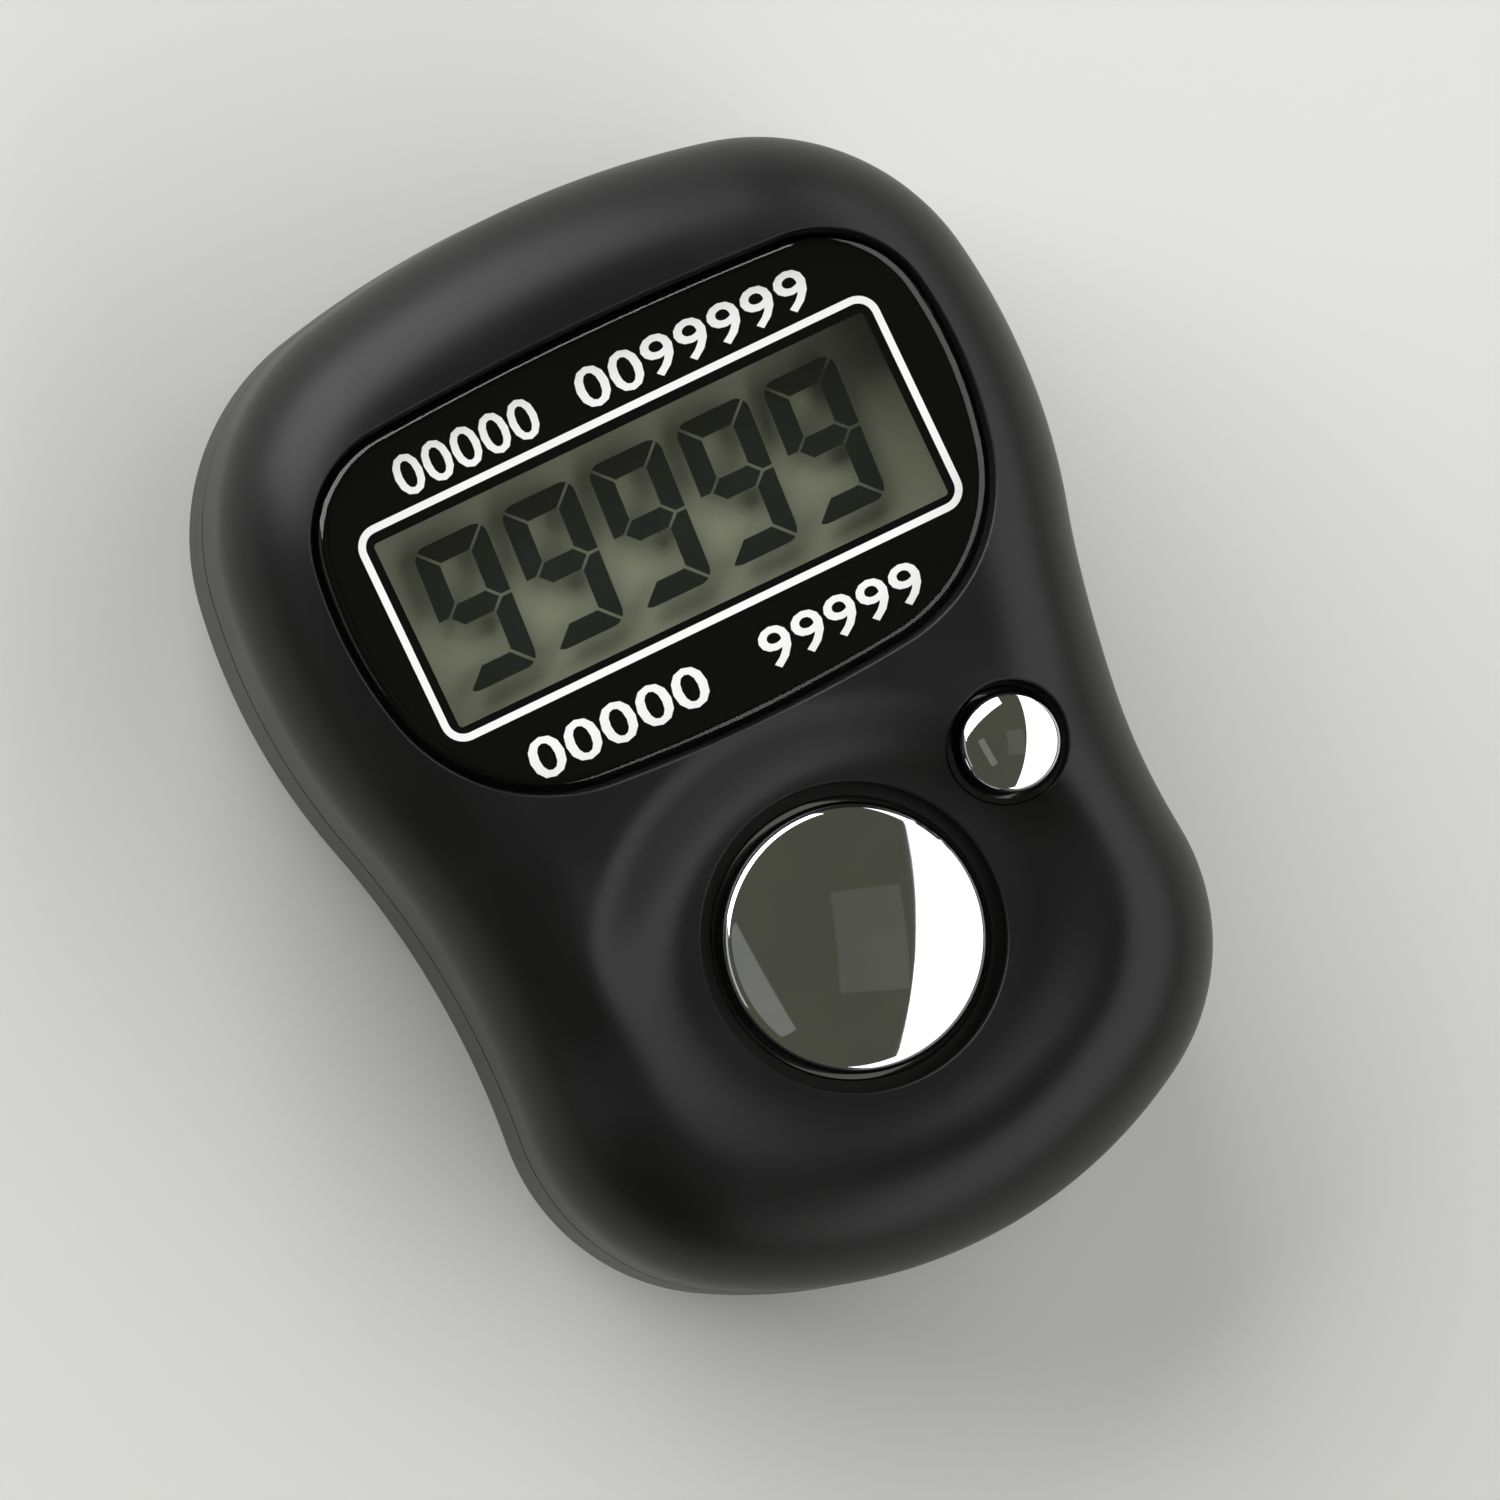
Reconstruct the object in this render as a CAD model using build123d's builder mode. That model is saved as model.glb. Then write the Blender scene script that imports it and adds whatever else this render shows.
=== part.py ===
"""A pocket digital tally counter, lying on its back: +Z is up through the display, +Y is the display's top.

The case is two moulded shells that part at parting_height. The display, the board and the two buttons hang
in the front shell; the button cell lies in the rear shell behind a coin-slot bayonet cap.
"""

import os
from math import acos, atan, atan2, cos, degrees, hypot, radians, sin, sqrt

from build123d import *

os.makedirs("parts", exist_ok=True)

# Case
body_length = 40.0
body_width = 29.6
body_height = 14.0
parting_height = 6.2
wall = 1.2
front_edge_radius = 4.5
back_edge_radius = 3.4
cut_margin = 1.0  # how far cutters reach past the surface that they open
thumb_end_drop = 1.2  # how much lower the face lies at the buttons than at the display
thumb_slope_length = 8.4
thumb_slope_gap = 0.3  # from the foot of the lens to the start of the slope

# Case outline: stations are shares of the length, counted from the top
top_arc_radius = 35.0
shoulder_radius = 8.7
widest_station = 0.292
waist_station = 0.666
hip_station = 0.768
waist_inset = 2.1
hip_radius = 7.9
side_arc_share = 0.42  # of the S between the widest point and the waist

# Display lens
lens_width = 24.1
lens_height = 15.1
lens_below_top = 4.8
lens_thickness = 1.0
lens_recess = 0.3  # the lens lies this far below the crest of the face
lens_top_arc_radius = 120.0
lens_side_arc_radius = 15.0
lens_foot_arc_radius = 60.0
lens_shoulder_radius = 4.2
lens_foot_radius = 6.6
lens_widest_share = 0.41  # of the lens height, from its top
lens_fit = 0.1  # gap round the lens in its recess
lens_edge_radius = 0.25
adhesive_thickness = 0.15
adhesive_inset = 0.3
opening_margin_x = 1.2  # the opening behind the lens is this much wider than its clear window
opening_margin_y = 1.0
window_width = 19.3
window_below_lens_top = 3.8  # the strips for print above and below the window
window_above_lens_foot = 4.2

# Liquid crystal display
display_gap = 0.1  # below the wall under the lens
glass_thickness = 0.7
film_thickness = 0.2  # polariser, and the reflector behind
crystal_thickness = 0.05
film_cover_x = 1.15  # how far the films reach past the window
film_cover_y = 0.3
film_margin = 0.4  # and the glass past the films
contact_ledge = 1.5  # strip at the foot of the front glass that the rear glass leaves bare
digit_count = 5
digit_margin = 0.85  # above and below the digits in the window
digit_width = 2.8
digit_pitch = 3.45
digit_slant = 3.5
segment_width = 0.82
segment_gap = 0.12

# Display holder and connector
holder_wall = 0.7
holder_fit = 0.15
holder_shelf = 1.4  # that the rear glass lies on
zebra_width = 1.1
zebra_length = 19.0

# Circuit board
board_bottom = 7.0
board_thickness = 0.8
board_fit = 0.5
board_top_trim = 6.35  # below the top of the case
board_foot_trim = 5.6  # above its foot
chip_blob_radius = 2.6
chip_blob_height = 1.1
chip_blob_place = (-3.2, 9.2)
capacitor_size = (0.8, 1.6, 0.8)
capacitor_places = [(3.2, 9.6), (5.4, 9.6)]
resistor_size = (1.0, 0.5, 0.35)
resistor_places = [(8.4, 8.2), (8.4, 9.6), (8.4, 11.0)]

# Count button
count_cap_radius = 4.8
count_button_gap = 0.9  # from its flange to the boss of the case screw at the foot
count_cap_proud = 1.15  # crown of the cap above the lip of its well
count_crown_sag = 0.55
count_shoulder_radius = 0.75
count_flange_overhang = 0.9
count_stem_radius = 1.3

# Reset button
reset_button_gap = 0.65  # between the two flanges
reset_button_bearing = 26.27  # seen from the count button
reset_cap_radius = 1.8
reset_cap_proud = 0.7
reset_face_rise = 0.4  # the face slopes up by this much from the count button to the reset button
reset_crown_sag = 0.35
reset_shoulder_radius = 0.45
reset_flange_overhang = 0.55
reset_stem_radius = 0.7
button_wall = 0.7

# Button wells
button_fit = 0.15  # radial gap between a cap and its hole
count_lip_width = 0.5
reset_lip_width = 0.2
well_lip_depth = 0.5
flange_thickness = 0.7
flange_play = 0.05
dish_depth = 0.9
dish_flat_width = 0.35  # level ring outside the well lip
dish_wall_radius = 1.9

# Switch pads
pad_base_thickness = 0.3
pad_wall = 0.35
pad_rise = 1.2
count_pad_radius = 3.2
reset_pad_radius = 1.9
pad_play = 0.03

# Button cell and its compartment
cell_radius = 5.8
cell_height = 3.05
cell_step_radius = 4.6  # the smaller, negative face
cell_step_height = 0.3
cell_edge_radius = 0.25
cell_fit = 0.2
cell_centre_y = -1.5

# Bayonet cap
cap_recess = 0.15  # behind the face that the case rests on
cap_plate_thickness = 1.2
cap_ring_wall = 0.8
cap_fit = 0.2
cap_play = 0.05
cap_lug_reach = 0.8
cap_lug_thickness = 0.6
cap_lug_angle = 36.0
cap_entry_play = 3.0  # degrees each side of a lug in its entry slot
cap_turn = 40.0
cap_mark_radius = 0.35
cap_mark_depth = 0.2
cap_mark_inset = 1.1
bayonet_ledge_thickness = 0.5
collar_wall = 1.1
coin_slot_width = 1.4
coin_slot_length = 9.0
coin_slot_depth = 0.6

# Battery contacts
contact_thickness = 0.2
contact_width = 2.6
contact_gap = 0.03
clip_foot_length = 2.0
clip_screw_gap = 0.67  # from the clip's foot to the head of a board screw

# Fasteners
screw_radius = 0.8
screw_head_radius = 1.5
screw_head_height = 0.9
screw_core_share = 0.85  # pilot hole over thread
boss_radius = 1.7
pilot_clearance = 0.2  # a pilot hole is this much deeper than the screw reaches
case_screw_length = 8.0
case_screw_recess = 1.6
case_screw_side = 8.0
case_screw_below_top = 4.5
case_screw_above_foot = 3.4
board_screw_radius = 0.6
board_screw_head_radius = 1.1
board_screw_head_height = 0.5
board_screw_length = 2.6
board_boss_radius = 1.3
board_screw_gap = 0.4  # from the display pocket to the upper board bosses
board_screw_foot_gap = 2.4  # from the foot of the board to the lower ones
board_screw_side_gap = 4.2  # from the waist of the case
driver_slot_width = 0.35
driver_slot_depth = 0.35
driver_slot_share = 1.3  # length of a slot over the head's radius

# Rim joint between the shells
tongue_thickness = 0.55
tongue_height = 0.8
tongue_fit = 0.1
seam_bevel = 0.12

# ---------------------------------------------------------------- levels and places that follow
top_y = body_length / 2
foot_y = -body_length / 2
thumb_face = body_height - thumb_end_drop
lens_top = body_height - lens_recess
lens_seat = lens_top - lens_thickness - adhesive_thickness
display_top = lens_seat - wall - display_gap
front_glass_bottom = display_top - film_thickness - glass_thickness
rear_glass_top = front_glass_bottom - crystal_thickness
rear_glass_bottom = rear_glass_top - glass_thickness
display_bottom = rear_glass_bottom - film_thickness
board_top = board_bottom + board_thickness

lens_edge_top = top_y - lens_below_top
lens_edge_foot = lens_edge_top - lens_height
window_height = lens_height - window_below_lens_top - window_above_lens_foot
window_centre_y = lens_edge_foot + window_above_lens_foot + window_height / 2
digit_height = window_height - 2 * digit_margin
film_width = window_width + 2 * film_cover_x
film_height = window_height + 2 * film_cover_y
glass_width = film_width + 2 * film_margin
rear_glass_height = film_height + 2 * film_margin
front_glass_height = rear_glass_height + contact_ledge
front_glass_y = window_centre_y - contact_ledge / 2
holder_outer_width = glass_width + 2 * (holder_fit + holder_wall)
holder_outer_height = front_glass_height + 2 * (holder_fit + holder_wall)
pocket_foot = front_glass_y - holder_outer_height / 2 - holder_fit

count_flange_radius = count_cap_radius + count_flange_overhang
reset_flange_radius = reset_cap_radius + reset_flange_overhang
count_y = foot_y + case_screw_above_foot + boss_radius + count_button_gap + count_flange_radius
count_place = (0.0, count_y)
button_spacing = count_flange_radius + reset_flange_radius + reset_button_gap
reset_place = (
    button_spacing * cos(radians(reset_button_bearing)),
    count_y + button_spacing * sin(radians(reset_button_bearing)),
)
count_lip = thumb_face - dish_depth
count_hole_radius = count_cap_radius + button_fit
reset_hole_radius = reset_cap_radius + button_fit
dish_flat_radius = count_hole_radius + count_lip_width + dish_flat_width
face_underside = count_lip - well_lip_depth - wall
reset_lip = thumb_face + reset_face_rise
flange_top = face_underside - flange_play
pad_top = board_top + pad_rise
stem_foot = pad_top + pad_play

cell_bottom = cap_recess + cap_plate_thickness + cap_play
cell_top = cell_bottom + cell_height
cell_place = (0.0, cell_centre_y)
ring_inner_radius = cell_radius + cell_fit
ring_outer_radius = ring_inner_radius + cap_ring_wall
lug_radius = ring_outer_radius + cap_lug_reach
cap_radius = lug_radius + cap_fit
bore_radius = ring_outer_radius + cap_fit
groove_radius = lug_radius + cap_fit
seat_radius = cap_radius + cap_fit
collar_radius = seat_radius + collar_wall
seat_depth = cap_recess + cap_plate_thickness + cap_play
groove_floor = seat_depth + bayonet_ledge_thickness
lug_floor = groove_floor + cap_play
groove_top = lug_floor + cap_lug_thickness + cap_play
collar_top = groove_top + wall / 2

case_screw_places = [
    (case_screw_side, top_y - case_screw_below_top),
    (-case_screw_side, top_y - case_screw_below_top),
    (0.0, foot_y + case_screw_above_foot),
]
board_foot_y = foot_y + board_foot_trim
board_head_y = top_y - board_top_trim
clip_x = cell_radius + contact_gap + contact_thickness / 2
board_upper_screw_x = clip_x + clip_foot_length + clip_screw_gap + board_screw_head_radius
board_upper_screw_y = pocket_foot - board_screw_gap - board_boss_radius
board_lower_screw_x = body_width / 2 - waist_inset - board_screw_side_gap
board_lower_screw_y = board_foot_y + board_screw_foot_gap
board_screw_places = [
    (board_upper_screw_x, board_upper_screw_y),
    (-board_upper_screw_x, board_upper_screw_y),
    (board_lower_screw_x, board_lower_screw_y),
    (-board_lower_screw_x, board_lower_screw_y),
]


# ---------------------------------------------------------------- outlines
def bearing(start, end):
    """Angle in degrees of the line from one centre to another."""
    return degrees(atan2(end[1] - start[1], end[0] - start[0]))


def nested_centre(centre_a, radius_a, centre_b, radius_b, radius):
    """Centre, on the right, of a circle that touches two larger circles from inside."""
    reach_a = radius_a - radius
    reach_b = radius_b - radius
    gap_x = centre_b[0] - centre_a[0]
    gap_y = centre_b[1] - centre_a[1]
    gap = hypot(gap_x, gap_y)
    along = (reach_a**2 - reach_b**2 + gap**2) / (2 * gap)
    aside = sqrt(reach_a**2 - along**2)
    foot = (centre_a[0] + along * gap_x / gap, centre_a[1] + along * gap_y / gap)
    one = (foot[0] + aside * gap_y / gap, foot[1] - aside * gap_x / gap)
    other = (foot[0] - aside * gap_y / gap, foot[1] + aside * gap_x / gap)
    return max(one, other)


def mirrored_face(arcs):
    """The face whose right half is a chain of arcs, each a centre, a radius, a start and a sweep."""
    with BuildSketch() as face:
        with BuildLine():
            for centre, radius, start, sweep in arcs:
                CenterArc(centre, radius, start, sweep)
            mirror(about=Plane.YZ)
        make_face()
    return face.sketch


def case_face(inset=0.0):
    """The hourglass outline of the case, moved in by inset: six tangent arcs a side."""
    widest_y = top_y - widest_station * body_length
    waist_y = top_y - waist_station * body_length
    hip_y = top_y - hip_station * body_length
    s_radii = (waist_inset**2 + (widest_y - waist_y) ** 2) / (2 * waist_inset)
    side_radius = s_radii * side_arc_share
    waist_radius = s_radii - side_radius
    crown = (0.0, top_y - top_arc_radius)
    side = (body_width / 2 - side_radius, widest_y)
    waist = (body_width / 2 - waist_inset + waist_radius, waist_y)
    shoulder = nested_centre(crown, top_arc_radius, side, side_radius, shoulder_radius)
    hip_x = waist[0] - sqrt((waist_radius + hip_radius) ** 2 - (waist_y - hip_y) ** 2)
    hip = (hip_x, hip_y)
    hip_rise = hip_y - foot_y
    foot_radius = (hip_x**2 + hip_rise**2 - hip_radius**2) / (2 * (hip_rise - hip_radius))
    foot = (0.0, foot_y + foot_radius)
    crown_end = bearing(crown, shoulder)
    shoulder_end = bearing(side, shoulder)
    side_end = bearing(side, waist)
    waist_end = bearing(waist, hip) % 360
    hip_end = bearing(foot, hip)
    return mirrored_face(
        [
            (crown, top_arc_radius - inset, 90, crown_end - 90),
            (shoulder, shoulder_radius - inset, crown_end, shoulder_end - crown_end),
            (side, side_radius - inset, shoulder_end, side_end - shoulder_end),
            (waist, waist_radius + inset, side_end + 180, waist_end - side_end - 180),
            (hip, hip_radius - inset, waist_end - 180, hip_end - waist_end + 180),
            (foot, foot_radius - inset, hip_end, -90 - hip_end),
        ]
    )


def lens_face(inset=0.0):
    """The outline of the lens, moved in by inset: a nearly level top and foot, and bulging sides."""
    crown = (0.0, lens_edge_top - lens_top_arc_radius)
    side_y = lens_edge_top - lens_widest_share * lens_height
    side = (lens_width / 2 - lens_side_arc_radius, side_y)
    base = (0.0, lens_edge_foot + lens_foot_arc_radius)
    shoulder = nested_centre(
        crown, lens_top_arc_radius, side, lens_side_arc_radius, lens_shoulder_radius
    )
    corner = nested_centre(side, lens_side_arc_radius, base, lens_foot_arc_radius, lens_foot_radius)
    crown_end = bearing(crown, shoulder)
    shoulder_end = bearing(side, shoulder)
    side_end = bearing(side, corner)
    corner_end = bearing(base, corner)
    return mirrored_face(
        [
            (crown, lens_top_arc_radius - inset, 90, crown_end - 90),
            (shoulder, lens_shoulder_radius - inset, crown_end, shoulder_end - crown_end),
            (side, lens_side_arc_radius - inset, shoulder_end, side_end - shoulder_end),
            (corner, lens_foot_radius - inset, side_end, corner_end - side_end),
            (base, lens_foot_arc_radius - inset, corner_end, -90 - corner_end),
        ]
    )


def face_profile():
    """Side view of the front shell: level over the display, then a long S down to the buttons."""
    turn = degrees(2 * atan(thumb_end_drop / thumb_slope_length))
    bend = thumb_slope_length / 2 / sin(radians(turn))
    slope_start = lens_edge_foot - thumb_slope_gap
    with BuildSketch(Plane.YZ) as profile:
        with BuildLine():
            level = Line((top_y + cut_margin, body_height), (slope_start, body_height))
            fall = JernArc(level @ 1, (-1, 0), bend, turn)
            rise = JernArc(fall @ 1, fall % 1, bend, -turn)
            Polyline(
                rise @ 1,
                (foot_y - cut_margin, thumb_face),
                (foot_y - cut_margin, 0),
                (top_y + cut_margin, 0),
                (top_y + cut_margin, body_height),
            )
        make_face()
    return profile.sketch


def upright(place):
    """The vertical axis through a place in plan."""
    return Axis((place[0], place[1], 0), (0, 0, 1))


def level(place, height):
    """A horizontal plane with its origin over a place in plan."""
    return Plane(origin=(place[0], place[1], height))


def section_plane(place):
    """The plane for half a section of what turns about the vertical axis at a place."""
    return Plane(origin=(place[0], place[1], 0), x_dir=(1, 0, 0), z_dir=(0, -1, 0))


def export(builder, label):
    """Names a finished piece and writes its STEP file."""
    builder.part.label = label
    export_step(builder.part, f"parts/{label}.step")


# ---------------------------------------------------------------- front shell
with BuildPart() as front_shell:
    with BuildSketch(Plane.XY.offset(parting_height)):
        add(case_face())
    extrude(amount=body_height - parting_height)
    extrude(face_profile(), amount=body_width, both=True, mode=Mode.INTERSECT)
    rim = front_shell.edges().filter_by(lambda e: e.bounding_box().min.Z > thumb_face - seam_bevel)
    fillet(rim.filter_by(Axis.X, reverse=True), front_edge_radius)
    chamfer(front_shell.faces().sort_by(Axis.Z)[0].edges(), seam_bevel)
    # thumb dish round the count button
    with BuildSketch(section_plane(count_place)):
        with BuildLine():
            wall_turn = degrees(acos(1 - dish_depth / dish_wall_radius))
            flat = Line((0, count_lip), (dish_flat_radius, count_lip))
            side = JernArc(flat @ 1, (1, 0), dish_wall_radius, wall_turn)
            climb = (body_height - thumb_face + cut_margin) / sin(radians(wall_turn))
            lip_end = side @ 1 + side % 1 * climb
            Polyline(side @ 1, lip_end, (0, lip_end.Y), (0, count_lip))
        make_face()
    revolve(axis=upright(count_place), mode=Mode.SUBTRACT)
    # lens recess, display window and the pocket for the display behind it
    with BuildSketch(Plane.XY.offset(lens_seat)):
        add(lens_face(-lens_fit))
    extrude(amount=body_height - lens_seat + cut_margin, mode=Mode.SUBTRACT)
    with BuildSketch(Plane.XY.offset(parting_height)):
        with Locations((0, window_centre_y)):
            Rectangle(window_width + opening_margin_x, window_height + opening_margin_y)
    extrude(amount=body_height - parting_height, mode=Mode.SUBTRACT)
    # cavity
    with BuildSketch(Plane.XY.offset(parting_height)):
        add(case_face(wall))
    extrude(amount=face_underside - parting_height, mode=Mode.SUBTRACT)
    with BuildSketch(Plane.XY.offset(parting_height)):
        with Locations((0, front_glass_y)):
            Rectangle(holder_outer_width + 2 * holder_fit, holder_outer_height + 2 * holder_fit)
    extrude(amount=display_top + display_gap - parting_height, mode=Mode.SUBTRACT)
    # wells of the two buttons
    for place, hole_radius, lip, lip_width in (
        (count_place, count_hole_radius, count_lip, count_lip_width),
        (reset_place, reset_hole_radius, reset_lip, reset_lip_width),
    ):
        with BuildSketch(level(place, parting_height)):
            Circle(hole_radius)
        extrude(amount=body_height - parting_height, mode=Mode.SUBTRACT)
        with BuildSketch(level(place, lip - well_lip_depth)):
            Circle(hole_radius + lip_width)
        extrude(amount=body_height, mode=Mode.SUBTRACT)
    # bosses for the case screws and the board screws
    for places, radius, foot in (
        (case_screw_places, boss_radius, parting_height),
        (board_screw_places, board_boss_radius, board_top),
    ):
        with BuildSketch(Plane.XY.offset(foot)):
            with Locations(places):
                Circle(radius)
        extrude(amount=face_underside + wall / 2 - foot)
    for places, radius, foot, reach in (
        (case_screw_places, screw_radius, parting_height, case_screw_recess + case_screw_length),
        (board_screw_places, board_screw_radius, board_top, board_bottom + board_screw_length),
    ):
        with BuildSketch(Plane.XY.offset(foot)):
            with Locations(places):
                Circle(radius * screw_core_share)
        extrude(amount=reach + pilot_clearance - foot, mode=Mode.SUBTRACT)
    # groove that takes the rear shell's tongue
    with BuildSketch(Plane.XY.offset(parting_height)):
        add(case_face(wall - tongue_thickness - tongue_fit))
        add(case_face(wall), mode=Mode.SUBTRACT)
    extrude(amount=tongue_height + tongue_fit, mode=Mode.SUBTRACT)
export(front_shell, "front_shell")


# ---------------------------------------------------------------- rear shell
def sector(radius, angle, heading):
    """A slice of a disc about the origin, centred on a heading."""
    with BuildSketch() as slice_face:
        with BuildLine():
            arc = CenterArc((0, 0), radius, heading - angle / 2, angle)
            Polyline(arc @ 1, (0, 0), arc @ 0)
        make_face()
    return slice_face.sketch


lug_headings = (0.0, 180.0)
mark_heading = 90.0

with BuildPart() as rear_shell:
    with BuildSketch():
        add(case_face())
    extrude(amount=parting_height)
    chamfer(rear_shell.faces().sort_by(Axis.Z)[-1].edges(), seam_bevel)
    fillet(rear_shell.faces().sort_by(Axis.Z)[0].edges(), back_edge_radius)
    with BuildSketch(Plane.XY.offset(wall)):
        add(case_face(wall))
    extrude(amount=parting_height - wall, mode=Mode.SUBTRACT)
    floor_edges = rear_shell.edges().filter_by(lambda e: abs(e.center().Z - wall) < wall / 2)
    fillet(floor_edges, back_edge_radius - wall)
    # tongue that registers the front shell
    with BuildSketch(Plane.XY.offset(parting_height - wall)):
        add(case_face(wall - tongue_thickness))
        add(case_face(wall), mode=Mode.SUBTRACT)
    extrude(amount=wall + tongue_height)
    # collar of the cell compartment, then its bore, seat, groove and entry slots
    with BuildSketch(level(cell_place, wall / 2)):
        Circle(collar_radius)
    extrude(amount=collar_top - wall / 2)
    for radius, start, stop in (
        (bore_radius, 0, collar_top),
        (seat_radius, 0, seat_depth),
        (groove_radius, groove_floor, groove_top),
    ):
        with BuildSketch(level(cell_place, start)):
            Circle(radius)
        extrude(amount=stop - start, mode=Mode.SUBTRACT)
    with BuildSketch(level(cell_place, seat_depth)):
        for heading in lug_headings:
            add(sector(groove_radius, cap_lug_angle + 2 * cap_entry_play, heading - cap_turn))
    extrude(amount=bayonet_ledge_thickness, mode=Mode.SUBTRACT)
    # marks for the closed and the open position of the cap
    with BuildSketch(level(cell_place, 0)):
        for heading in (mark_heading, mark_heading - cap_turn):
            with PolarLocations(seat_radius + cap_mark_inset, 1, heading):
                Circle(cap_mark_radius)
    extrude(amount=cap_mark_depth, mode=Mode.SUBTRACT)
    # pillars for the case screws
    with BuildSketch(Plane.XY.offset(wall / 2)):
        with Locations(case_screw_places):
            Circle(boss_radius + tongue_thickness)
    extrude(amount=parting_height - wall / 2 - tongue_fit)
    for radius, depth in (
        (screw_head_radius + cap_fit, case_screw_recess),
        (screw_radius + tongue_fit, parting_height),
    ):
        with BuildSketch():
            with Locations(case_screw_places):
                Circle(radius)
        extrude(amount=depth, mode=Mode.SUBTRACT)
export(rear_shell, "rear_shell")


# ---------------------------------------------------------------- display lens
with BuildPart() as display_lens:
    with BuildSketch(Plane.XY.offset(lens_seat + adhesive_thickness)):
        add(lens_face())
    extrude(amount=lens_thickness)
    fillet(display_lens.faces().sort_by(Axis.Z)[-1].edges(), lens_edge_radius)
export(display_lens, "display_lens")

with BuildPart() as lens_adhesive:
    with BuildSketch(Plane.XY.offset(lens_seat)):
        add(lens_face(adhesive_inset))
        with Locations((0, window_centre_y)):
            Rectangle(
                window_width + opening_margin_x + adhesive_inset,
                window_height + opening_margin_y + adhesive_inset,
                mode=Mode.SUBTRACT,
            )
    extrude(amount=adhesive_thickness)
export(lens_adhesive, "lens_adhesive")


# ---------------------------------------------------------------- liquid crystal display
def sheet(width, height, centre_y, floor, thickness, label):
    """A flat rectangular sheet of the display stack."""
    with BuildPart() as piece:
        with BuildSketch(level((0, centre_y), floor)):
            Rectangle(width, height)
        extrude(amount=thickness)
    export(piece, label)


sheet(
    film_width, film_height, window_centre_y, display_top - film_thickness, film_thickness,
    "lcd_front_polariser",
)
sheet(
    glass_width, front_glass_height, front_glass_y, front_glass_bottom, glass_thickness,
    "lcd_front_glass",
)
sheet(
    glass_width, rear_glass_height, window_centre_y, rear_glass_bottom, glass_thickness,
    "lcd_rear_glass",
)
sheet(film_width, film_height, window_centre_y, display_bottom, film_thickness, "lcd_reflector")


def nine_segments():
    """Outlines of the six lit segments of a nine, measured from its lower left corner."""
    w = digit_width
    h = digit_height
    t = segment_width
    k = segment_gap * sqrt(0.5)
    m = h / 2
    nib = t / 2 + k
    top = [(k, h), (w - k, h), (w - t - k, h - t), (t + k, h - t)]
    upper_right = [
        (w, h - k), (w, m + 2 * k), (w - t / 4, m + k),
        (w - t / 2, m + k), (w - t, m + nib), (w - t, h - t - k),
    ]
    middle = [
        (t + k, m + t / 2), (w - t - k, m + t / 2), (w - nib, m),
        (w - t - k, m - t / 2), (t + k, m - t / 2), (nib, m),
    ]
    bottom = [(x, h - y) for x, y in top]
    lower_right = [(x, h - y) for x, y in upper_right]
    upper_left = [(w - x, y) for x, y in upper_right]
    return [top, upper_right, middle, bottom, lower_right, upper_left]


with BuildPart() as lcd_segments:
    slant = sin(radians(digit_slant))
    row_width = (digit_count - 1) * digit_pitch + digit_width + slant * digit_height
    with BuildSketch(Plane.XY.offset(rear_glass_top)):
        for digit in range(digit_count):
            left = digit * digit_pitch - row_width / 2
            for outline in nine_segments():
                with BuildLine():
                    corners = [
                        (left + x + slant * y, window_centre_y - digit_height / 2 + y)
                        for x, y in outline
                    ]
                    Polyline(*corners, close=True)
                make_face()
    extrude(amount=crystal_thickness)
export(lcd_segments, "lcd_segments")


# ---------------------------------------------------------------- display holder and connector
zebra_y = front_glass_y - front_glass_height / 2 + contact_ledge / 2

with BuildPart() as lcd_holder:
    with BuildSketch(level((0, front_glass_y), board_top)):
        Rectangle(holder_outer_width, holder_outer_height)
    extrude(amount=display_top - film_thickness - holder_fit - board_top)
    for centre_y, width, height, floor in (
        (front_glass_y, glass_width, front_glass_height, front_glass_bottom),
        (window_centre_y, glass_width, rear_glass_height, display_bottom),
        (window_centre_y, glass_width - 2 * holder_shelf, rear_glass_height - 2 * holder_shelf, board_top),
        (zebra_y, zebra_length, zebra_width, board_top),
    ):
        with BuildSketch(level((0, centre_y), floor)):
            Rectangle(width + 2 * holder_fit, height + 2 * holder_fit)
        extrude(amount=display_top - floor, mode=Mode.SUBTRACT)
export(lcd_holder, "lcd_holder")

with BuildPart() as zebra_strip:
    with BuildSketch(level((0, zebra_y), board_top)):
        Rectangle(zebra_length, zebra_width)
    extrude(amount=front_glass_bottom - board_top)
export(zebra_strip, "zebra_strip")


# ---------------------------------------------------------------- circuit board
with BuildPart() as circuit_board:
    with BuildSketch(Plane.XY.offset(board_bottom)):
        add(case_face(wall + board_fit))
        with Locations((0, (board_head_y + board_foot_y) / 2)):
            Rectangle(body_width, board_head_y - board_foot_y, mode=Mode.INTERSECT)
        with Locations(board_screw_places):
            Circle(board_screw_radius + tongue_fit, mode=Mode.SUBTRACT)
    extrude(amount=board_thickness)
export(circuit_board, "circuit_board")

with BuildPart() as chip_blob:
    with BuildSketch(section_plane(chip_blob_place)):
        with BuildLine():
            drop_radius = (chip_blob_radius**2 + chip_blob_height**2) / (2 * chip_blob_height)
            drop_turn = degrees(2 * atan(chip_blob_height / chip_blob_radius))
            drop = JernArc((0, board_bottom - chip_blob_height), (1, 0), drop_radius, drop_turn)
            Polyline(drop @ 1, (0, board_bottom), drop @ 0)
        make_face()
    revolve(axis=upright(chip_blob_place))
export(chip_blob, "chip_blob")

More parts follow.
